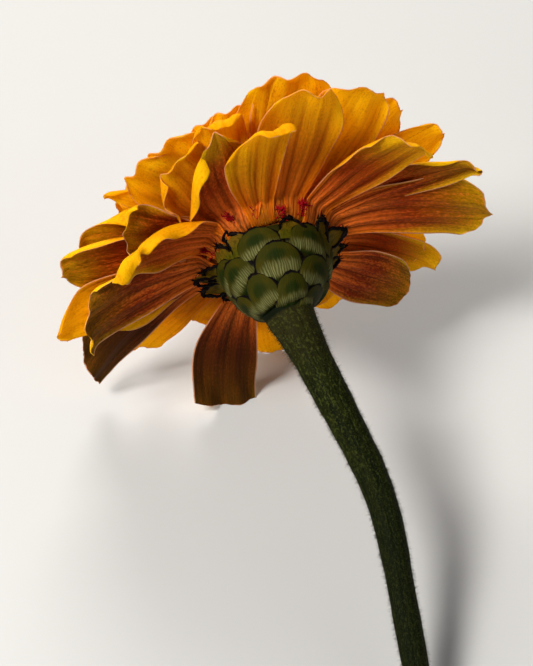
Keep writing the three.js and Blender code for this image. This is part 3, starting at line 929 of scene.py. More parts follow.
SECOND_ROOT = Petal(root_r=8.2, root_z=4.3)
THIRD_ROOT = Petal(root_r=7.8, root_z=5.2)
SECOND = (
    replace(SECOND_ROOT, az=62, rise=17, bend=-6.5, length=21.4, width=6.3, lift=0.3),
    replace(SECOND_ROOT, az=85.5, rise=14, bend=-4, length=29.3, width=6.6, round_off=0.06, lift=-0.3),
    replace(SECOND_ROOT, az=115, rise=16, bend=-1, length=19.4, width=6.3),
    replace(SECOND_ROOT, az=133, rise=11.5, bend=-7, length=29.2, width=4.7, broad=0.78, tip=1.2,
            round_off=0.03, skew=0.13, lift=0.3),
    replace(SECOND_ROOT, az=161.5, rise=1, bend=-15, length=32.9, width=8, broad=0.75, tip=0.5,
            round_off=0.17, skew=0.18, lift=0.2),
    replace(SECOND_ROOT, az=180.5, blush=0.6, rise=5.5, bend=-11, length=29.7, width=7, tip=0.7, right=80,
            skew=0.1, lift=-0.3),
    replace(SECOND_ROOT, az=194.5, blush=0.55, rise=13, bend=-10, length=25.6, width=8, broad=0.73,
            round_off=0.2, lip=60, right=120, roll=3.4, sway=-4.6, skew=-0.3, lift=0.3),
    replace(SECOND_ROOT, az=195, blush=0.7, rise=3, bend=-9.5, length=19.9, width=7.1, broad=0.88, tip=0.86,
            round_off=0.02, left=130, roll=3.0, sway=2, skew=0.32, lift=-0.6, crumple=0.3),
    replace(SECOND_ROOT, az=224.5, blush=0.35, rise=8.5, bend=-3, length=19.8, width=7.2, broad=0.6,
            tip=0.74, round_off=0.02, lip=60, left=130, roll=3.0, sway=4, skew=0.32, lift=-0.6, crumple=0.3),
    replace(SECOND_ROOT, az=251, rise=12, bend=-16, length=25, width=4.8, broad=0.87, tip=0.6,
            round_off=0.06, lip=110, lip_length=3.8, sway=1.5, skew=0.1, lift=-0.3, crumple=0.25),
    replace(SECOND_ROOT, az=274, rise=10.5, bend=-4.5, length=28, width=7),
    replace(SECOND_ROOT, az=281.5, rise=10, bend=-4.5, length=29.1, width=7.7, tip=0.77, sway=-1, lift=-0.3),
    replace(SECOND_ROOT, az=313, rise=13, bend=-7, length=26.5, width=7.3, lift=0.6),
    replace(SECOND_ROOT, az=332.5, rise=12, bend=-5.5, length=29.2, width=6.3, tip=0.56, lift=-0.6),
    replace(SECOND_ROOT, az=22, rise=10, bend=-8, length=24, width=6.5),
    replace(THIRD_ROOT, az=202, rise=16.5, bend=-11, length=23.7, width=4.7, broad=0.52, tip=0.2,
            round_off=0.19, sway=1, skew=0.14),
    replace(THIRD_ROOT, az=220.5, rise=12.5, bend=-11, length=22.6, width=6.8, lift=0.3),
    replace(THIRD_ROOT, az=232, rise=13.5, bend=-9.5, length=22.7, width=7.5, lip=60, sway=1.3),
)


@dataclass(frozen=True)
class WhorlRule:
    """An inner whorl that is placed by rule, each petal a little unlike its neighbours."""

    count: int
    start: float
    pattern: Petal
    vary: float = 7.0
    vary_length: float = 0.1
    lips: tuple[float, float] = (30.0, 80.0)
    stagger: float = 0.6

    def petal(self, place: int, item: int) -> Petal:
        """Give one of its petals.

        Args:
            place: Its number in the whorl. Neighbours lie by turns a little over and under each other.
            item: Its number among all the inner petals.

        Returns:
            The petal.
        """
        low, high = self.lips
        return replace(
            self.pattern,
            az=self.start + 360 * place / self.count + self.vary * (draw(item, Draw.AZIMUTH) - 0.5),
            rise=self.pattern.rise + self.vary * (draw(item, Draw.RISE) - 0.5),
            length=self.pattern.length * (1 + self.vary_length * (draw(item, Draw.LENGTH) - 0.5)),
            lip=low + (high - low) * draw(item, Draw.LIP),
            phase=PHASES * draw(item, Draw.PHASE),
            lift=self.stagger if place % 2 else -self.stagger,
            seed=draw(item, Draw.SEED))


INNER = (
    WhorlRule(13, 8, Petal(root_r=7.4, root_z=6.1, rise=19, bend=-14, length=20.5, width=6.4)),
    WhorlRule(11, 20, Petal(root_r=6.6, root_z=7.4, rise=31, bend=-16, length=18, width=5.8)),
    WhorlRule(9, 3, Petal(root_r=6.0, root_z=8.3, rise=43, bend=-16, length=15, width=5.2)),
    WhorlRule(8, 14, Petal(root_r=5.6, root_z=9.0, rise=56, bend=-14, length=11.5, width=4.0, rib=0.2)),
)


@dataclass
class Whorls:
    """All the petals, in one piece for the outer whorl, one for the second and one for the inner ones."""

    thickness: float = 0.36
    margin: float = 0.35
    foot: float = 0.36
    heel: tuple[float, float] = (1.1, -3.0)
    outer_cells: tuple[int, int] = (44, 60)
    second_cells: tuple[int, int] = (36, 48)
    inner_cells: tuple[int, int] = (24, 34)
    vary: float = 0.2
    core_sides: int = 64
    core_profile: tuple[tuple[float, float], ...] = (
        (0.0, 1.3), (9.0, 1.3), (9.2, 2.6), (8.4, 4.6), (7.4, 6.6), (6.5, 8.4), (5.7, 9.6), (0.0, 9.6))
    collar: tuple[tuple[float, float], ...] = (
        (9.2, -2.2), (9.4, -1.0), (9.6, 0.0), (10.0, 0.9), (10.4, 1.7), (10.9, 2.5), (11.2, 3.5))
    collar_points: tuple[int, int] = (13, 25)
    collar_thickness: tuple[float, float] = (0.3, 0.1)
    collar_foot: float = 0.06

    def _blade(self, skin: Skin, petal: Petal, cells: tuple[int, int], tone: float) -> None:
        """Add one petal to a piece.

        Args:
            skin: The piece so far.
            petal: The petal.
            cells: Cells across and along.
            tone: A number that the finishes vary by.
        """
        columns, rows = cells
        uv = sheet_uv(rows + 1, columns + 1)
        edge = np.maximum(np.abs(uv[..., 0] * 2 - 1) ** 8, uv[..., 1] ** 16)
        thickness = self.thickness * (1 - (1 - self.margin) * edge)

        # The thickness is taken below the surface first, which turns the sheet's faces inwards.
        sides = [POSE.lay(side) for side in thicken(petal.surface(columns, rows), -thickness)]
        for side in sides:
            side[..., 2] = np.maximum(side[..., 2], FLOOR_GAP)
        skin.add_sheet(*sides, uv, tone, (1, 0, 1))

    def _whorl(self, petals: Sequence[Petal], cells: tuple[int, int], draws: tuple[Draw, Draw, Draw],
               vary: float, middle: float) -> Skin:
        """Build a whorl whose petals are set one by one.

        Args:
            petals: The petals.
            cells: Cells across and along each of them.
            draws: The draws for their waves, their folds and their tones.
            vary: How far their tones vary.
            middle: The draw that leaves a tone as it is.

        Returns:
            The piece.
        """
        skin = Skin()
        phase, seed, tone = draws
        for i, petal in enumerate(petals):
            shaped = replace(petal, phase=PHASES * draw(i, phase), seed=draw(i, seed))
            self._blade(skin, shaped, cells, petal.blush + vary * (draw(i, tone) - middle))
        return skin

    def outer(self) -> Skin:
        """Build the outer whorl, whose feet are broader and end in heels.

        Returns:
            The piece's surfaces.
        """
        petals = [replace(petal, claw=max(petal.claw, self.foot), heel=self.heel) for petal in OUTER]
        draws = (Draw.OUTER_PHASE, Draw.SEED, Draw.TONE)
        return self._whorl(petals, self.outer_cells, draws, self.vary / 2, 0.5)

    def second(self) -> Skin:
        """Build the second whorl.

        Returns:
            The piece's surfaces.
        """
        draws = (Draw.SECOND_PHASE, Draw.SECOND_SEED, Draw.SECOND_TONE)
        return self._whorl(SECOND, self.second_cells, draws, self.vary, 0.0)

    def inner(self) -> Skin:
        """Build the inner whorls.

        Returns:
            The piece's surfaces.
        """
        skin = Skin()
        for r, rule in enumerate(INNER):
            for i in range(rule.count):
                item = 40 * (r + 1) + i
                self._blade(skin, rule.petal(i, item), self.inner_cells, self.vary * draw(item, Draw.TONE))
        return skin

    def core(self) -> Skin:
        """Build the low cone that the petals grow from, with the ribbed collar of their heels.

        Returns:
            The piece's surfaces.
        """
        skin = Skin()
        revolve(skin, self.core_profile, self.core_sides, 0)
        petals = sorted(OUTER, key=lambda petal: petal.az % 360)
        around = [petal.az % 360 for petal in petals]
        around = [around[-1] - 360, *around, around[0] + 360]
        rows, columns = self.collar_points
        rings = np.array(self.collar)
        place = np.linspace(0, len(rings) - 1, rows)
        radius, height = (np.interp(place, range(len(rings)), rings[:, n])[:, None] for n in (0, 1))
        share = np.linspace(-1, 1, columns)
        radius = radius - 0.10 * np.cos(3 * math.pi * share) - 0.15 * np.abs(share) ** 10
        inwards, upwards = self.collar_thickness
        uv = sheet_uv(rows, columns) * [1, self.collar_foot]
        for petal, before, middle, after in zip(petals, around, around[1:], around[2:]):
            start, end = (before + middle) / 2, (middle + after) / 2
            angle = np.radians(start + (end - start) * (share + 1) / 2)
            grid = swing(radius, 0, height, angle)
            inside = swing(radius - inwards, 0, height + upwards, angle)
            skin.add_sheet(POSE.lay(grid), POSE.lay(inside), uv, petal.blush, (1, 1, 1))
        return skin

    def dress(self) -> None:
        """Build the petals, give them their finishes and fix them to the part."""
        amber = Run(foot=(0.88, 0.200, 0.004), middle=(0.98, 0.500, 0.003), tip=(0.98, 0.640, 0.004),
                    vein=(0.42, 0.110, 0.001))
        rust = Run(foot=(0.90, 0.180, 0.020), middle=(0.260, 0.017, 0.002), tip=(0.28, 0.125, 0.001),
                   vein=(0.052, 0.015, 0.001))
        gold = Run(foot=(0.86, 0.240, 0.002), middle=(0.92, 0.400, 0.002), tip=(0.93, 0.480, 0.002),
                   vein=(0.70, 0.220, 0.001))
        backs = PetalFinish("petal_back", Side.BACK, amber, rust)
        fronts = PetalFinish("petal_front", Side.FRONT, gold, gold, veins=0.3)
        skins = {"outer_whorl": self.outer(), "second_whorl": self.second(), "inner_whorls": self.inner()}
        finishes = [fronts.material(), backs.material()]
        for name, skin in skins.items():
            settle(skin.build(name, finishes), "ray_petals")
        maroon = PlainFinish("receptacle_maroon", foot=(0.10, 0.030, 0.010), tip=(0.16, 0.040, 0.010),
                             dark=(0.04, 0.012, 0.006))
        # Painted shade: the heels of the collar are coloured as the petals' feet look in shade, darkest at
        # the bottom, over their own rust brown.
        heel = PlainFinish("petal_heel_and_shade", foot=(0.13, 0.034, 0.003), tip=(0.36, 0.090, 0.006),
                           dark=(0.040, 0.014, 0.001), turn=(0.0, 0.06), scale=(6.0, 9.0))
        core = self.core().build("receptacle", [maroon.material(), heel.material()])
        settle(core, "ray_petals")


def revolve(skin: Skin, profile: Sequence[tuple[float, float]], sides: int, finish: int) -> None:
    """Add a surface of revolution round the bloom's axis.

    Args:
        skin: The piece so far.
        profile: Radius and height pairs from the back to the face, in millimetres.
        sides: How many sides it has.
        finish: The number of the finish.
    """
    angle = np.linspace(0, TAU, sides, endpoint=False)
    radius, height = np.array(profile).T[..., None]
    rings = swing(np.maximum(radius, AXIS_GAP), 0, height, angle)
    skin.add_grid(POSE.lay(rings), sheet_uv(len(profile), sides), EVEN_TONE, finish, flip=True, wrap=True)


# The cup of bracts


@dataclass(frozen=True)
class BractRow:
    """A row of bracts: where they are round the cup and along its profile, and their half sizes.

    The slant sets the bracts on the left higher up the cup than those on the right, as a spiral does.
    """

    azimuths: tuple[float, ...]
    s: float
    half_width: float
    half_height: float
    lift: float
    slant: float = 0.0
    flare: float = 0.2


@dataclass(frozen=True)
class RimTip:
    """A narrow bract that opens past the rim: where it is round the cup and how far out its tip reaches."""

    azimuth: float
    reach: float
    half_width: float = 2.1
    top: float = 14.2


@dataclass
class Cup:
    """The green cup with its overlapping bracts."""

    SLOPE_STEP = 0.6
    RIM_STEPS = 60
    RIM_ITEM = 50

    profile: tuple[tuple[float, float], ...] = (
        (4.2, -12.6), (5.0, -12.0), (6.2, -10.5), (7.6, -8.6), (8.8, -6.2), (9.6, -3.6), (10.1, -1.2),
        (10.2, 0.3))
    lean: tuple[float, float] = (0.306, 0.47)
    lean_range: tuple[float, float] = (-7.6, 5.0)
    thickness: float = 0.55
    rim_thickness: float = 0.42
    foot_sink: float = 0.6
    crown: float = 0.78
    arch: float = 0.26
    bract_cells: tuple[int, int] = (24, 26)
    rim_cells: tuple[int, int] = (16, 28)
    rows: tuple[BractRow, ...] = (
        BractRow((224, 275, 342, 32, 78, 124, 172), 1.8, 3.5, 2.9, 0.24, 1.7),
        BractRow((263, 323, 23, 83, 143, 203), 5.9, 4.7, 3.4, 0.26, 1.85),
        BractRow((246, 306, 6, 66, 126, 186), 9.9, 4.7, 3.3, 0.28))
    rim: tuple[RimTip, ...] = (
        RimTip(342, 13.4, 2.4), RimTip(326, 11.8, 2.3), RimTip(1, 13.0, 1.7), RimTip(288, 10.4, 3.1, 13.5),
        RimTip(230, 10.8, 2.4), RimTip(202, 11.3, 2.6), RimTip(178, 13.0, 2.2), RimTip(168, 14.4, 1.3),
        RimTip(157, 13.9, 2.5), RimTip(24, 12.6), RimTip(50, 12.9), RimTip(76, 12.4), RimTip(103, 12.8),
        RimTip(130, 12.6))
    rim_foot: float = 9.6
    rim_hinge: float = 12.2
    body_foot: float = -12.55
    body_top: float = -1.6
    body_inset: float = 0.25
    body_sides: int = 64
    hem_start: int = 13
    hem_teeth: int = 9
    fine_teeth: int = 16
    seed: int = 41

    def point(self, azimuth: Grid, s: Grid, lift: Grid) -> Grid:
        """Give points on the cup's side.

        Args:
            azimuth: Angles round the axis in degrees.
            s: Lengths along the profile from the stem.
            lift: Heights over the side.

        Returns:
            The points in the bloom's frame.
        """
        table = np.array(self.profile)
        lengths = np.concatenate([[0], np.cumsum(np.linalg.norm(np.diff(table, axis=0), axis=1))])

        def along(place: Grid, column: int) -> Grid:
            """Give the profile's radius or height at lengths along it."""
            return np.interp(np.clip(place, 0, lengths[-1]), lengths, table[:, column])

        held = np.clip(s, 0, lengths[-1])
        ahead, behind = held + self.SLOPE_STEP, held - self.SLOPE_STEP
        slope = np.arctan2(along(ahead, 1) - along(behind, 1), along(ahead, 0) - along(behind, 0))
        beyond = s - held
        r = along(held, 0) + lift * np.sin(slope) + beyond * 0.25
        z = along(held, 1) - lift * np.cos(slope) + beyond
        return self.tilt(swing(r, 0, z, np.radians(azimuth)))

    def tilt(self, points: Grid) -> Grid:
        """Lean the foot of the cup, so that it meets the stem squarely.

        Args:
            points: Points in the bloom's frame.

        Returns:
            The points, moved along the bloom's axis near the stem.
        """
        x, y, z = points[..., 0], points[..., 1], points[..., 2]
        share = smooth((self.lean_range[0] - z) / self.lean_range[1])
        return np.stack([x, y, z + share * (self.lean[0] * x + self.lean[1] * y)], -1)

    def station(self, row: BractRow, azimuth: float) -> float:
        """Give where a row's bract has its middle along the profile, at an angle round the cup in degrees."""
        return row.s - row.slant * math.cos(math.radians(azimuth))

    def _bract(self, skin: Skin, row: BractRow, azimuth: float, seed: int) -> None:
        """Add one bract.

        Args:
            skin: The piece so far.
            row: The bract's row.
            azimuth: Where it is round the cup.
            seed: The number of the bract.
        """
        columns, rows = self.bract_cells
        uv = sheet_uv(rows + 1, columns + 1)
        u, v = uv[..., 0] * 2 - 1, uv[..., 1] * 2 - 1
        upper = np.clip(v, 0, 1)
        narrow = np.where(v < 0, 1 - 0.12 * v * v, np.sqrt(np.maximum(0, 1 - self.crown * v * v)))
        half = row.half_width * narrow
        arch = v * (1 - np.where(v > 0, self.arch * u * u, 0))
        s = self.station(row, azimuth) + row.half_height * (arch + 0.02 * np.sin(u * 13 + seed) * upper ** 3)
        still = np.zeros_like(s)
        radius = np.maximum(np.linalg.norm(self.point(still, s, still)[..., :2], axis=-1), 3.0)
        dome = row.lift * (0.25 + 0.75 * (1 - u * u)) * smooth((v + 1.1) * 0.9) + row.flare * upper ** 3
        dome += 0.06 * np.cos(u * 11) * (1 - uv[..., 1]) - self.foot_sink * (1 - smooth((v + 1) * 1.6))
        middle = self.point(azimuth + np.degrees(u * half / radius), s, dome - 0.1)
        edge = np.maximum(np.abs(u) ** 8, upper ** 10)
        sides = [POSE.lay(side) for side in thicken(middle, self.thickness * (1 - 0.6 * edge))]
        skin.add_sheet(*sides, uv, draw(seed, Draw.BRACT_TONE), (0, 0, 0))

    def _rim_sheet(self, tip: RimTip, seed: int) -> tuple[Grid, Grid]:
        """Give the middle surface of a rim bract.

        Args:
            tip: The bract.
            seed: The number of the bract.

        Returns:
            The grid of points in the bloom's frame, and the sheet's places.
        """
        columns, rows = self.rim_cells
        uv = sheet_uv(rows + 1, columns + 1)
        u, v = uv[..., 0] * 2 - 1, uv[..., 1]
        rim_radius = self.profile[-1][0]
        spread = max(0.0, tip.reach - rim_radius)
        length = tip.top - self.rim_foot + 0.75 * spread
        opening = math.radians(min(80.0, 16.0 * spread + 14.0))
        fine = np.linspace(0, length, self.RIM_STEPS + 1)
        turn = opening * smooth((fine + self.rim_foot - self.rim_hinge) / 2.0)
        forward, outward = trace(turn[1:], length / self.RIM_STEPS)
        half = tip.half_width * np.sqrt(np.maximum(0.006, 1 - v ** 2.2))
        half = half * (1 + 0.10 * np.sin(v * 19 + seed * 2.4) * v)
        run = length * v * (1 - 0.10 * u * u * v)
        s = self.rim_foot + np.interp(run, fine, forward)
        lift = 0.05 + np.interp(run, fine, outward) + 0.55 * u * u * v * smooth(v * 2 - 0.8)
        radius = rim_radius + np.maximum(lift, 0)
        lean = (draw(seed, Draw.RIM_LEAN) - 0.5) * 16 * smooth(v * 2 - 1)
        return self.point(tip.azimuth + lean + np.degrees(u * half / radius), s, lift), uv

    def build(self) -> Skin:
        """Build the cup and its bracts.

        Returns:
            The piece's surfaces.
        """
        skin = Skin()
        inner = [(r - self.body_inset, min(z, self.body_top)) for r, z in self.profile]
        lid = self.body_top + 0.3
        revolve(skin, [(0.0, self.body_foot), *inner, (9.4, lid), (0.0, lid)], self.body_sides, 1)
        for r, row in enumerate(self.rows):
            for k, azimuth in enumerate(row.azimuths):
                self._bract(skin, row, azimuth, 8 * r + k)
        for k, tip in enumerate(self.rim):
            surface, uv = self._rim_sheet(tip, self.RIM_ITEM + k)
            edge = np.maximum(np.abs(uv[..., 0] * 2 - 1) ** 8, uv[..., 1] ** 12)
            sides = [POSE.lay(side) for side in thicken(surface, self.rim_thickness * (1 - 0.5 * edge))]
            skin.add_sheet(*sides, uv, draw(k, Draw.RIM_TONE), (2, 2, 2))
        return skin

    def fringes(self) -> Skin:
        """Build the dark hems and curled teeth of the rim bracts, and the fine teeth of the others.

        Returns:
            The piece's surfaces.
        """
        skin = Skin()
        rng = np.random.default_rng(self.seed)
        for k, tip in enumerate(self.rim):
            surface, _ = self._rim_sheet(tip, self.RIM_ITEM + k)
            self._rim_hem(skin, surface, rng)
        for row in self.rows:
            for azimuth in row.azimuths:
                self._bract_teeth(skin, row, azimuth, rng)
        return skin

    def _rim_hem(self, skin: Skin, surface: Grid, rng: np.random.Generator) -> None:
        """Add the hem and the teeth of one rim bract.

        Args:
            skin: The piece so far.
            surface: The bract's middle surface.
            rng: Where the draws come from.
        """
        start = self.hem_start
        path = np.concatenate([surface[start:, 0], surface[-1, 1:-1], surface[:start - 1:-1, -1]])
        count = len(path)
        crooked = np.cumsum(rng.normal(0, 0.09, (count, 3)), 0)
        crooked -= np.linspace(0, 1, count)[:, None] * crooked[-1]
        ends = np.sin(np.linspace(0.12, math.pi - 0.12, count)) ** 0.4
        girth = (0.27 + 0.20 * rng.random(count)) * ends
        hem(skin, path + crooked, girth, rng.random(), POSE.lay)
        out = surface[-1, surface.shape[1] // 2] - surface[-4, surface.shape[1] // 2]
        for _ in range(self.hem_teeth):
            foot = path[rng.integers(count // 4, 3 * count // 4)]
            heading = out / np.linalg.norm(out) + rng.normal(0, 0.55, 3)
            curl = rng.normal(0, 0.6, 3)
            hair(skin, foot, heading, curl, 0.5 + 0.9 * rng.random(), 0.13, rng.random(), POSE.lay)

    def _bract_teeth(self, skin: Skin, row: BractRow, azimuth: float, rng: np.random.Generator) -> None:
        """Add the fine teeth of one bract.

        Args:
            skin: The piece so far.
            row: The bract's row.
            azimuth: Where it is round the cup.
            rng: Where the draws come from.
        """
        for t in np.linspace(-1, 1, self.fine_teeth):
            s = self.station(row, azimuth) + row.half_height * (1 - self.arch * t * t) - 0.1
            radius = np.linalg.norm(self.point(np.array(0.0), np.array(s), np.array(0.0))[:2])
            at = azimuth + math.degrees(t * row.half_width * 0.47 / radius)
            height = row.lift * (1 - t * t) * 0.7 + row.flare * (1 - 0.4 * t * t)
            foot = self.point(np.array(at), np.array(s), np.array(height))
            outward = self.point(np.array(at), np.array(s + 0.5), np.array(height + 0.6)) - foot
            outward = outward / np.linalg.norm(outward) + rng.normal(0, 0.35, 3)
            curl = rng.normal(0, 0.35, 3)
            hair(skin, foot, outward, curl, 0.14 + 0.20 * rng.random(), 0.06, rng.random(), POSE.lay)

    def dress(self) -> None:
        """Build the cup, give it its finishes and fix it to the part."""
        bract = BractFinish().material()
        under = PlainFinish("cup_green", foot=(0.020, 0.020, 0.001), tip=(0.020, 0.016, 0.001),
                            dark=(0.008, 0.006, 0.001)).material()
        rim = PlainFinish("rim_bract", foot=(0.050, 0.045, 0.001), tip=(0.105, 0.055, 0.002),
                          dark=(0.018, 0.016, 0.001)).material()
        settle(self.build().build("bracts", [bract, under, rim]), "involucre")
        soot = PlainFinish("bract_fringe", foot=(0.002, 0.001, 0.001), tip=(0.005, 0.002, 0.002),
                           dark=(0.001, 0.001, 0.001)).material()
        settle(self.fringes().build("bract_fringes", [soot]), "involucre")


def hair(skin: Skin, foot: Grid, heading: Grid, curl: Grid, length: float, radius: float, tone: float,
         lay: Callable[[Grid], Grid]) -> None:
    """Add one tapered hair or tooth.

    Args:
        skin: The piece so far.
        foot: Where it grows, in millimetres.
        heading: Which way it starts.
        curl: How its heading turns towards its tip.
        length: Its length in millimetres.
        radius: Its radius at the foot in millimetres.
        tone: A number that the finish varies by.
        lay: Turns points into metres in the part's frame.
    """
    ahead = heading / np.linalg.norm(heading)
    side = np.cross(ahead, ASKEW)
    side /= np.linalg.norm(side)
    other = np.cross(ahead, side)
    middle = foot + ahead * length * 0.5 + curl * length * 0.15
    tip = foot + ahead * length + curl * length * 0.5
    count = HAIR_SIDES
    turns = np.arange(count) * TAU / count
    ring = np.cos(turns)[:, None] * side + np.sin(turns)[:, None] * other
    points = np.concatenate([foot - ahead * 0.1 + ring * radius, middle + ring * radius * 0.7, tip[None]])
    uv = np.array([[0.0, 0.0]] * count + [[0.5, 0.5]] * count + [[1.0, 1.0]])
    first = skin.add_points(lay(points), uv, tone)
    low, high = np.arange(count), (np.arange(count) + 1) % count
    skin.add_quads(np.stack([low, high, high + count, low + count], -1) + first, 0)
    skin.add_tris(np.stack([low + count, high + count, np.full(count, 2 * count)], -1) + first, 0)


def hem(skin: Skin, path: Grid, girth: Grid, tone: float, lay: Callable[[Grid], Grid]) -> None:
    """Add a thin rounded hem along a path.

    Args:
        skin: The piece so far.
        path: The path's points in millimetres.
        girth: The hem's radius at each point.
        tone: A number that the finish varies by.
        lay: Turns points into metres in the part's frame.
    """
    sides = HEM_SIDES
    ahead = np.gradient(path, axis=0)
    ahead /= np.linalg.norm(ahead, axis=-1, keepdims=True) + 1e-9
    side = np.cross(ahead, ASKEW)
    side /= np.linalg.norm(side, axis=-1, keepdims=True)
    other = np.cross(ahead, side)
    turns = np.arange(sides)[None, :, None] * TAU / sides
    ring = np.cos(turns) * side[:, None] + np.sin(turns) * other[:, None]
    uv = sheet_uv(len(path), sides)
    index = skin.add_grid(lay(path[:, None] + ring * girth[:, None, None]), uv, tone, 0, flip=True, wrap=True)
    skin.add_cap(index[0], lay(path[0]), np.array([0.5, 0.0]), tone, 0, flip=True)
    skin.add_cap(index[-1], lay(path[-1]), np.array([0.5, 1.0]), tone, 0)


# The stem


@dataclass
class Stem:
    """The hairy stem, from the cup to its cut end."""

    SPINE_STEPS = 360

    length: float = 81.0
    root: float = 0.5
    joint: tuple[float, float, float] = (-0.35, -12.9, 0.0)
    top_radius: float = 3.5
    end_radius: float = 2.25
    taper: float = 52.0
    flare: tuple[float, float] = (0.95, 14.0)
    drop: tuple[float, float] = (24.2, 26.5)
    turn: tuple[float, float] = (17.0, -1.8)
    turn_range: tuple[float, float] = (25.5, 48.5)
    sides: int = 64
    rings: int = 220
    crowding: float = 1.05
    cut: tuple[tuple[float, float], ...] = ((0.93, 0.02), (0.86, -0.10), (0.55, -0.22), (0.2, -0.30))
    cut_depth: float = 0.32
    hairs: int = 12000
    hair_radius: float = 0.024
    hairless: tuple[float, float] = (1.6, 0.4)
    seed: int = 7

    def _heading(self, s: Grid) -> Grid:
        """Give the stem's direction.

        Args:
            s: Lengths along the stem.

        Returns:
            The directions there.
        """
        drop = np.radians(self.drop[0] + (self.drop[1] - self.drop[0]) * smooth(s / self.length))
        start, end = self.turn_range
        turn = np.radians(self.turn[0] + (self.turn[1] - self.turn[0]) * smooth((s - start) / (end - start)))
        return np.stack([np.cos(drop) * np.sin(turn), -np.cos(drop) * np.cos(turn), -np.sin(drop)], -1)

    def _radius(self, s: Grid) -> Grid:
        """Give the stem's radius.

        Args:
            s: Lengths along the stem.

        Returns:
            The radii there, in millimetres.
        """
        taper = np.minimum(1, s / self.taper)
        flare = self.flare[0] * np.maximum(0, 1 - s / self.flare[1]) ** 2
        return self.top_radius + (self.end_radius - self.top_radius) * taper + flare

    def frames(self, s: Grid) -> tuple[Grid, Grid, Grid, Grid]:
        """Give the middle line's points and directions.

        Args:
            s: Lengths along the stem, rising from 0.

        Returns:
            The points, the directions, and the two directions across.
        """
        fine = np.linspace(0, self.length, self.SPINE_STEPS + 1)
        heading = self._heading(fine)
        step = self.length / self.SPINE_STEPS
        run = np.concatenate([[[0, 0, 0]], np.cumsum(middles(heading) * step, 0)])
        run = run + np.array(self.joint) - heading[0] * self.root
        points = np.stack([np.interp(s, fine, run[:, k]) for k in range(3)], -1)
        ahead = self._heading(s)
        across = np.cross(ahead, [0.0, 0.0, 1.0])
        across /= np.linalg.norm(across, axis=-1, keepdims=True)
        return points, ahead, across, np.cross(across, ahead)

    def _surface(self, s: Grid, angle: Grid) -> tuple[Grid, Grid]:
        """Give points on the stem's skin and the directions out of it.

        Args:
            s: Lengths along the stem.
            angle: Angles round it.

        Returns:
            The points, in millimetres round the bloom's centre as it lies, and the outward directions.
        """
        points, _, across, up = self.frames(s)
        out = np.cos(angle)[..., None] * across + np.sin(angle)[..., None] * up
        ribbed = 1 + 0.03 * np.cos(6 * angle) + 0.012 * np.cos(17 * angle + s * 0.05)
        lump = 1 + 0.012 * np.sin(s * 0.45) + 0.010 * np.sin(s * 1.1 + angle * 2)
        radius = self._radius(s) * ribbed * lump
        return points + out * radius[..., None], out

    def _set(self, points: Grid) -> Grid:
        """Move points to their place in the part's frame.

        Args:
            points: Points in millimetres round the bloom's centre as it lies.

        Returns:
            The same points in metres, none of them below the floor.
        """
        placed = (points + np.array([POSE.x, POSE.y, POSE.height])) * MM
        placed[..., 2] = np.maximum(placed[..., 2], FLOOR_GAP)
        return placed

    def body(self) -> Skin:
        """Build the stem's skin and its cut end.

        Returns:
            The piece's surfaces.
        """
        skin = Skin()
        s = np.linspace(0, 1, self.rings) ** self.crowding * self.length
        angle = np.linspace(0, TAU, self.sides, endpoint=False)
        lengths, angles = np.meshgrid(s, angle, indexing="ij")
        grid, _ = self._surface(lengths, angles)
        uv = sheet_uv(self.rings, self.sides)
        ring = skin.add_grid(self._set(grid), uv, EVEN_TONE, 0, wrap=True)[-1]
        points, ahead, _, _ = self.frames(np.array([self.length]))
        for shrink, sink in self.cut:
            inner = points[0] + (grid[-1] - points[0]) * shrink + ahead[0] * sink
            uv = np.full((self.sides, 2), [0.5, shrink])
            numbers = skin.add_points(self._set(inner), uv, EVEN_TONE) + np.arange(self.sides)
            ahead_ring, ahead_inner = np.roll(ring, -1), np.roll(numbers, -1)
            skin.add_quads(np.stack([ring, numbers, ahead_inner, ahead_ring], -1), 1)
            ring = numbers
        middle = self._set(points[0] - ahead[0] * self.cut_depth)
        skin.add_cap(ring, middle, np.array([0.5, 0.0]), EVEN_TONE, 1, flip=True)
        return skin

    def down(self) -> Skin:
        """Build the short hairs.

        Returns:
            The piece's surfaces.
        """
        skin = Skin()
        rng = np.random.default_rng(self.seed)
        bare_top, bare_end = self.hairless
        s = bare_top + (self.length - bare_top - bare_end) * rng.random(self.hairs) ** 1.12
        angle = TAU * rng.random(self.hairs)
        feet, out = self._surface(s, angle)
        _, ahead, _, _ = self.frames(s)
        for i in range(self.hairs):
            heading = out[i] + ahead[i] * rng.normal(0.15, 0.35) + rng.normal(0, 0.22, 3)
            length = 0.35 + 0.55 * rng.random() ** 1.5
            curl = rng.normal(0, 0.35, 3)
            hair(skin, feet[i], heading, curl, length, self.hair_radius, rng.random(), self._set)
        return skin

    def dress(self) -> None:
        """Build the stem, give it its finishes and fix it to the part."""
        green = StemFinish().material()
        pith = PlainFinish("stem_pith", foot=(0.50, 0.55, 0.30), tip=(0.16, 0.24, 0.06),
                           dark=(0.30, 0.34, 0.14), turn=(0.5, 0.95)).material()
        settle(self.body().build("stem_skin", [green, pith]), "stem")
        pale = PlainFinish("stem_down", foot=(0.012, 0.015, 0.002), tip=(0.085, 0.090, 0.026),
                           dark=(0.008, 0.010, 0.002), turn=(0.2, 1.0)).material()
        settle(self.down().build("stem_hairs", [pale]), "stem")


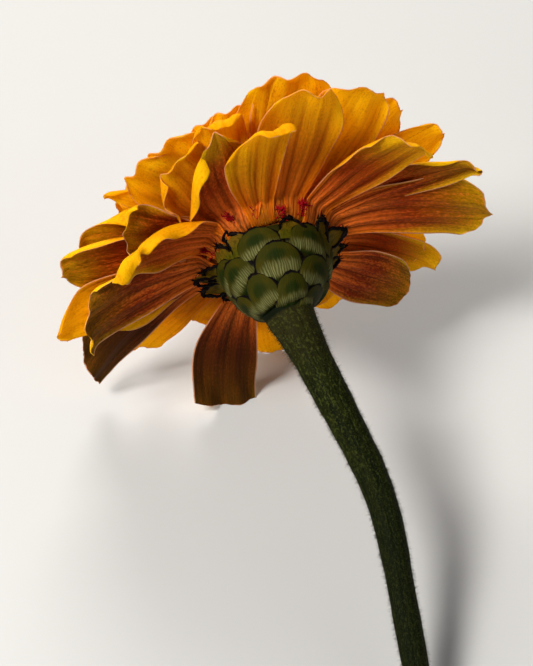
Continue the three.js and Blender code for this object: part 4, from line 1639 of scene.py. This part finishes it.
@dataclass(frozen=True)
class StemFinish:
    """The skin of the stem under its hairs."""

    name: str = "stem_green"
    dark: Colour = (0.003, 0.005, 0.001)
    green: Colour = (0.011, 0.014, 0.001)
    pale: Colour = (0.050, 0.060, 0.010)
    brown: Colour = (0.042, 0.030, 0.008)
    depth: float = 0.00025

    def material(self) -> bpy.types.Material:
        """Make the material.

        Returns:
            The material, with fine pale streaks that fade towards the cut end, a faint painted highlight
            along one side, and painted shade at the joint with the cup and towards the cut end.
        """
        recipe = Recipe(self.name)
        across, along, tone = recipe.place()
        ring = (across * math.pi).cos()
        streak = recipe.grain(across * 24.0, along * 12.0, tone, 3.0, 0.6)
        speck = recipe.grain(across * 34.0, along * 150.0, tone, 3.0, 0.6)
        colour = recipe.blend(streak.ease(0.38, 0.62), self.dark, self.green)
        colour = recipe.blend(speck.ease(0.52, 0.64) * 0.8, colour, self.pale)
        colour = recipe.blend(along.fall(0.0, 0.25) * 0.35, colour, self.brown)
        # Painted highlight: a faint pale band along the side of the stem that the light falls on.
        colour = recipe.blend(ring.ease(0.7, 1.0) * 0.1, colour, self.pale)
        # Painted shade: the skin darkens at the joint with the cup and towards the cut end, where less light
        # reaches it.
        ends = along.fall(0.012, 0.022).most(along.ease(0.15, 0.6) * 0.6)
        colour = recipe.blend(ends, colour, self.dark)
        return recipe.finish(colour, 0.55 + speck * 0.2, streak * 0.6 + speck * 0.5, self.depth)


# The face's button of florets, and the red fringes


@dataclass(frozen=True)
class Tuft:
    """A tuft of red fringes that shows between the petals' feet, in millimetres from the bloom's axis."""

    azimuth: float
    reach: float
    hairs: int = 26
    spread: float = 0.45
    length: float = 1.0


@dataclass
class Button:
    """The small florets and dark red fringes at the middle of the face."""

    tufts: tuple[Tuft, ...] = (
        Tuft(297, 11.2, 72, 0.5, 2.0), Tuft(277, 10.5, 44, 0.5, 1.3), Tuft(254, 11.0, 22, 0.2, 2.2),
        Tuft(235, 12.2, 26, 0.4, 2.6), Tuft(195, 11.2, 48, 0.4, 2.2), Tuft(350, 11.4, 20, 0.4),
        Tuft(30, 10.8), Tuft(65, 10.8), Tuft(98, 10.8), Tuft(135, 10.8))
    radius: float = 5.1
    base: float = 10.0
    rise: float = 3.4
    sides: int = 48
    florets: int = 24
    floret_sides: int = 30
    star_from: float = 2.2
    lobes: int = 5
    golden: float = 137.508
    star: tuple[tuple[float, float, float], ...] = (
        (0.30, 0.0, -1.2), (0.32, 0.0, -0.3), (0.42, 0.1, 0.15), (0.66, 0.35, 0.5), (0.82, 0.5, 0.62),
        (0.86, 0.52, 0.55), (0.62, 0.40, 0.45), (0.34, 0.1, 0.2), (0.16, 0.0, 0.0))
    bud: tuple[tuple[float, float, float], ...] = (
        (0.28, 0.0, -1.0), (0.36, 0.06, -0.1), (0.42, 0.12, 0.25), (0.36, 0.2, 0.45), (0.18, 0.25, 0.58),
        (0.04, 0.0, 0.60))
    tassels: int = 150
    tassel_hairs: int = 5
    tassel_radius: float = 0.09
    tuft_radius: float = 0.15
    tuft_sink: float = 1.65
    seed: int = 19

    def _height(self, r: float) -> float:
        """Give the dome's height at a radius."""
        return self.base + self.rise * math.sqrt(max(0.0, 1 - (r / (self.radius + 0.6)) ** 2))

    def _floret(self, skin: Skin, i: int) -> None:
        """Add one floret: a star near the edge of the button, a shut bud near its middle.

        Args:
            skin: The piece so far.
            i: The number of the floret.
        """
        r = (self.radius - 0.9) * math.sqrt((i + 0.5) / self.florets)
        rings = self.star if r > self.star_from else self.bud
        angle = np.linspace(0, TAU, self.floret_sides, endpoint=False)
        radius, lobe, height = np.array(rings).T[..., None]
        shape = swing(radius * (1 + lobe * np.cos(self.lobes * angle)), 0, height, angle)
        lean = min(0.5, r * 0.1)
        x = r + shape[..., 0] * math.cos(lean) + shape[..., 2] * math.sin(lean)
        z = shape[..., 2] * math.cos(lean) - shape[..., 0] * math.sin(lean)
        placed = swing(x, shape[..., 1], z + self._height(r), math.radians(i * self.golden))
        uv = sheet_uv(len(rings), self.floret_sides)
        skin.add_grid(POSE.lay(placed), uv, draw(i, Draw.FLORET_TONE), 0, flip=True, wrap=True)

    def build(self) -> Skin:
        """Build the dome and the florets.

        Returns:
            The piece's surfaces.
        """
        skin = Skin()
        profile = [(0.0, self.base), (self.radius - 0.3, self.base), (self.radius - 0.2, self.base + 0.7)]
        profile += [(r, self._height(r) - 0.15) for r in (4.4, 3.6, 2.4, 1.2, 0.0)]
        revolve(skin, profile, self.sides, 1)
        for i in range(self.florets):
            self._floret(skin, i)
        return skin

    def chaff(self) -> Skin:
        """Build the red fringes among the florets and at the petals' feet round the cup.

        Returns:
            The piece's surfaces.
        """
        skin = Skin()
        rng = np.random.default_rng(self.seed)
        for _ in range(self.tassels):
            self._tassel(skin, rng)
        for tuft in self.tufts:
            self._tuft(skin, tuft, rng)
        return skin

    def _tassel(self, skin: Skin, rng: np.random.Generator) -> None:
        """Add one bunch of fringes among the florets.

        Args:
            skin: The piece so far.
            rng: Where the draws come from.
        """
        r = self.radius * math.sqrt(rng.random()) * 0.97
        turn = TAU * rng.random()
        foot = np.array([r * math.cos(turn), r * math.sin(turn), self._height(r) - 0.3])
        heading = np.array([math.cos(turn) * 0.4, math.sin(turn) * 0.4, 1.0])
        for _ in range(self.tassel_hairs):
            lean = heading + rng.normal(0, 0.22, 3)
            start = foot + rng.normal(0, 0.16, 3)
            curl = rng.normal(0, 0.3, 3)
            length = 1.0 + 0.5 * rng.random()
            hair(skin, start, lean, curl, length, self.tassel_radius, rng.random(), POSE.lay)

    def _tuft(self, skin: Skin, tuft: Tuft, rng: np.random.Generator) -> None:
        """Add one tuft at the petals' feet.

        Args:
            skin: The piece so far.
            tuft: The tuft.
            rng: Where the draws come from.
        """
        turn = math.radians(tuft.azimuth)
        radial = np.array([math.cos(turn), math.sin(turn), 0.0])
        sideways = np.array([-math.sin(turn), math.cos(turn), 0.0])
        for _ in range(tuft.hairs):
            out = tuft.reach + tuft.length * (rng.random() - 0.3)
            foot = radial * out + sideways * rng.normal(0, tuft.spread)
            height = min(1.2 * (out - 9.6), 2.6) - self.tuft_sink + 0.3 * rng.random()
            lean = radial + [0, 0, 0.1] + rng.normal(0, 0.35, 3)
            curl = rng.normal(0, 0.5, 3)
            length = 0.6 + 0.8 * rng.random()
            hair(skin, foot + [0, 0, height], lean, curl, length, self.tuft_radius, rng.random(), POSE.lay)

    def dress(self) -> None:
        """Build the button, give it its finishes and fix it to the part."""
        yellow = PlainFinish("floret_yellow", foot=(0.62, 0.42, 0.05), tip=(0.92, 0.62, 0.04),
                             dark=(0.70, 0.36, 0.02), glow=(0.9, 0.5, 0.05)).material()
        ground = PlainFinish("button_ground", foot=(0.16, 0.030, 0.012), tip=(0.24, 0.060, 0.015),
                             dark=(0.06, 0.014, 0.008)).material()
        settle(self.build().build("florets", [yellow, ground]), "disc_florets")
        red = PlainFinish("chaff_red", foot=(0.30, 0.004, 0.008), tip=(0.42, 0.006, 0.012),
                          dark=(0.14, 0.002, 0.004)).material()
        settle(self.chaff().build("chaff_fringes", [red]), "disc_florets")


# Floor, light and camera


@dataclass(frozen=True)
class Lamp:
    """A soft square light that looks at the bloom: its place and size in metres, its watts and colour."""

    name: str
    place: tuple[float, float, float]
    size: float
    power: float
    colour: Colour


@dataclass(frozen=True)
class Studio:
    """The pale floor, the soft lights and the camera of the photograph."""

    elevation: float = 48.5
    azimuth: float = -12.6
    distance: float = 0.5
    pixels_per_mm: float = 5.67
    bloom_pixel: tuple[float, float] = (273.0, 257.0)
    frame_size: tuple[int, int] = (533, 666)
    sensor: float = 36.0
    nearest: float = 0.01
    floor_reach: float = 3.0
    floor_colour: Colour = (0.52, 0.515, 0.50)
    floor_roughness: float = 0.9
    sky: tuple[float, float, float, float] = (0.90, 0.93, 1.0, 1.0)
    sky_strength: float = 0.14
    lamps: tuple[Lamp, ...] = (
        Lamp("key", (-0.38, -0.10, 0.56), 0.20, 6.0, (1.0, 0.98, 0.95)),
        Lamp("fill", (0.50, -0.50, 0.40), 0.60, 1.0, (0.97, 0.98, 1.0)),
        Lamp("back", (0.05, 0.62, 0.42), 0.35, 4.4, (1.0, 0.98, 0.95)))

    def camera(self) -> None:
        """Set the camera so that the bloom's centre falls where the photograph has it."""
        tilt, turn = math.radians(self.elevation), math.radians(self.azimuth)
        level = np.array([-math.sin(turn), math.cos(turn), 0.0])
        ahead = level * math.cos(tilt) - np.array([0.0, 0.0, math.sin(tilt)])
        right = np.array([math.cos(turn), math.sin(turn), 0.0])
        up = np.cross(right, ahead)
        focal = self.pixels_per_mm * self.distance / MM
        width, height = self.frame_size
        sideways = (self.bloom_pixel[0] - width / 2) / focal * self.distance
        upward = -(self.bloom_pixel[1] - height / 2) / focal * self.distance
        place = POSE.centre() - right * sideways - up * upward - ahead * self.distance
        lens = bpy.data.cameras.new("camera")
        lens.sensor_width = self.sensor
        lens.lens = self.sensor * focal / height
        lens.clip_start = self.nearest
        camera = bpy.data.objects.new("camera", lens)
        matrix = [[right[k], up[k], -ahead[k], place[k]] for k in range(3)] + [[0, 0, 0, 1]]
        camera.matrix_world = Matrix(matrix)
        bpy.context.scene.collection.objects.link(camera)
        bpy.context.scene.camera = camera

    def floor(self) -> None:
        """Lay the floor."""
        skin = Skin()
        low, high = -self.floor_reach, self.floor_reach
        corners = np.array([[[low, low, 0.0], [low, high, 0.0]], [[high, low, 0.0], [high, high, 0.0]]])
        skin.add_grid(corners, sheet_uv(2, 2), EVEN_TONE, 0)
        pale = Recipe("floor_pale").finish(self.floor_colour, self.floor_roughness)
        floor = skin.build("floor", [pale])

    def lights(self) -> None:
        """Hang the lights."""
        for lamp in self.lamps:
            light = bpy.data.lights.new(lamp.name, "AREA")
            light.size, light.energy, light.color = lamp.size, lamp.power, lamp.colour
            hung = bpy.data.objects.new(lamp.name, light)
            hung.location = lamp.place
            toward = Vector(POSE.centre()) - hung.location
            hung.rotation_euler = toward.to_track_quat("-Z", "Y").to_euler()
            bpy.context.scene.collection.objects.link(hung)
        world = bpy.data.worlds.new("studio")
        world.use_nodes = True
        sky = world.node_tree.nodes["Background"]
        sky.inputs["Color"].default_value = self.sky
        sky.inputs["Strength"].default_value = self.sky_strength
        bpy.context.scene.world = world
        bpy.context.scene.view_settings.view_transform = "Standard"


def main() -> None:
    """Build the flower and the studio."""
    logging.basicConfig(level=logging.INFO, format="%(name)s %(message)s")
    studio = Studio()
    studio.camera()
    studio.floor()
    studio.lights()
    for part in (Whorls(), Cup(), Stem(), Button()):
        LOG.info("building %s", type(part).__name__)
        part.dress()
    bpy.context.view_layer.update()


if __name__ == "__main__":
    main()
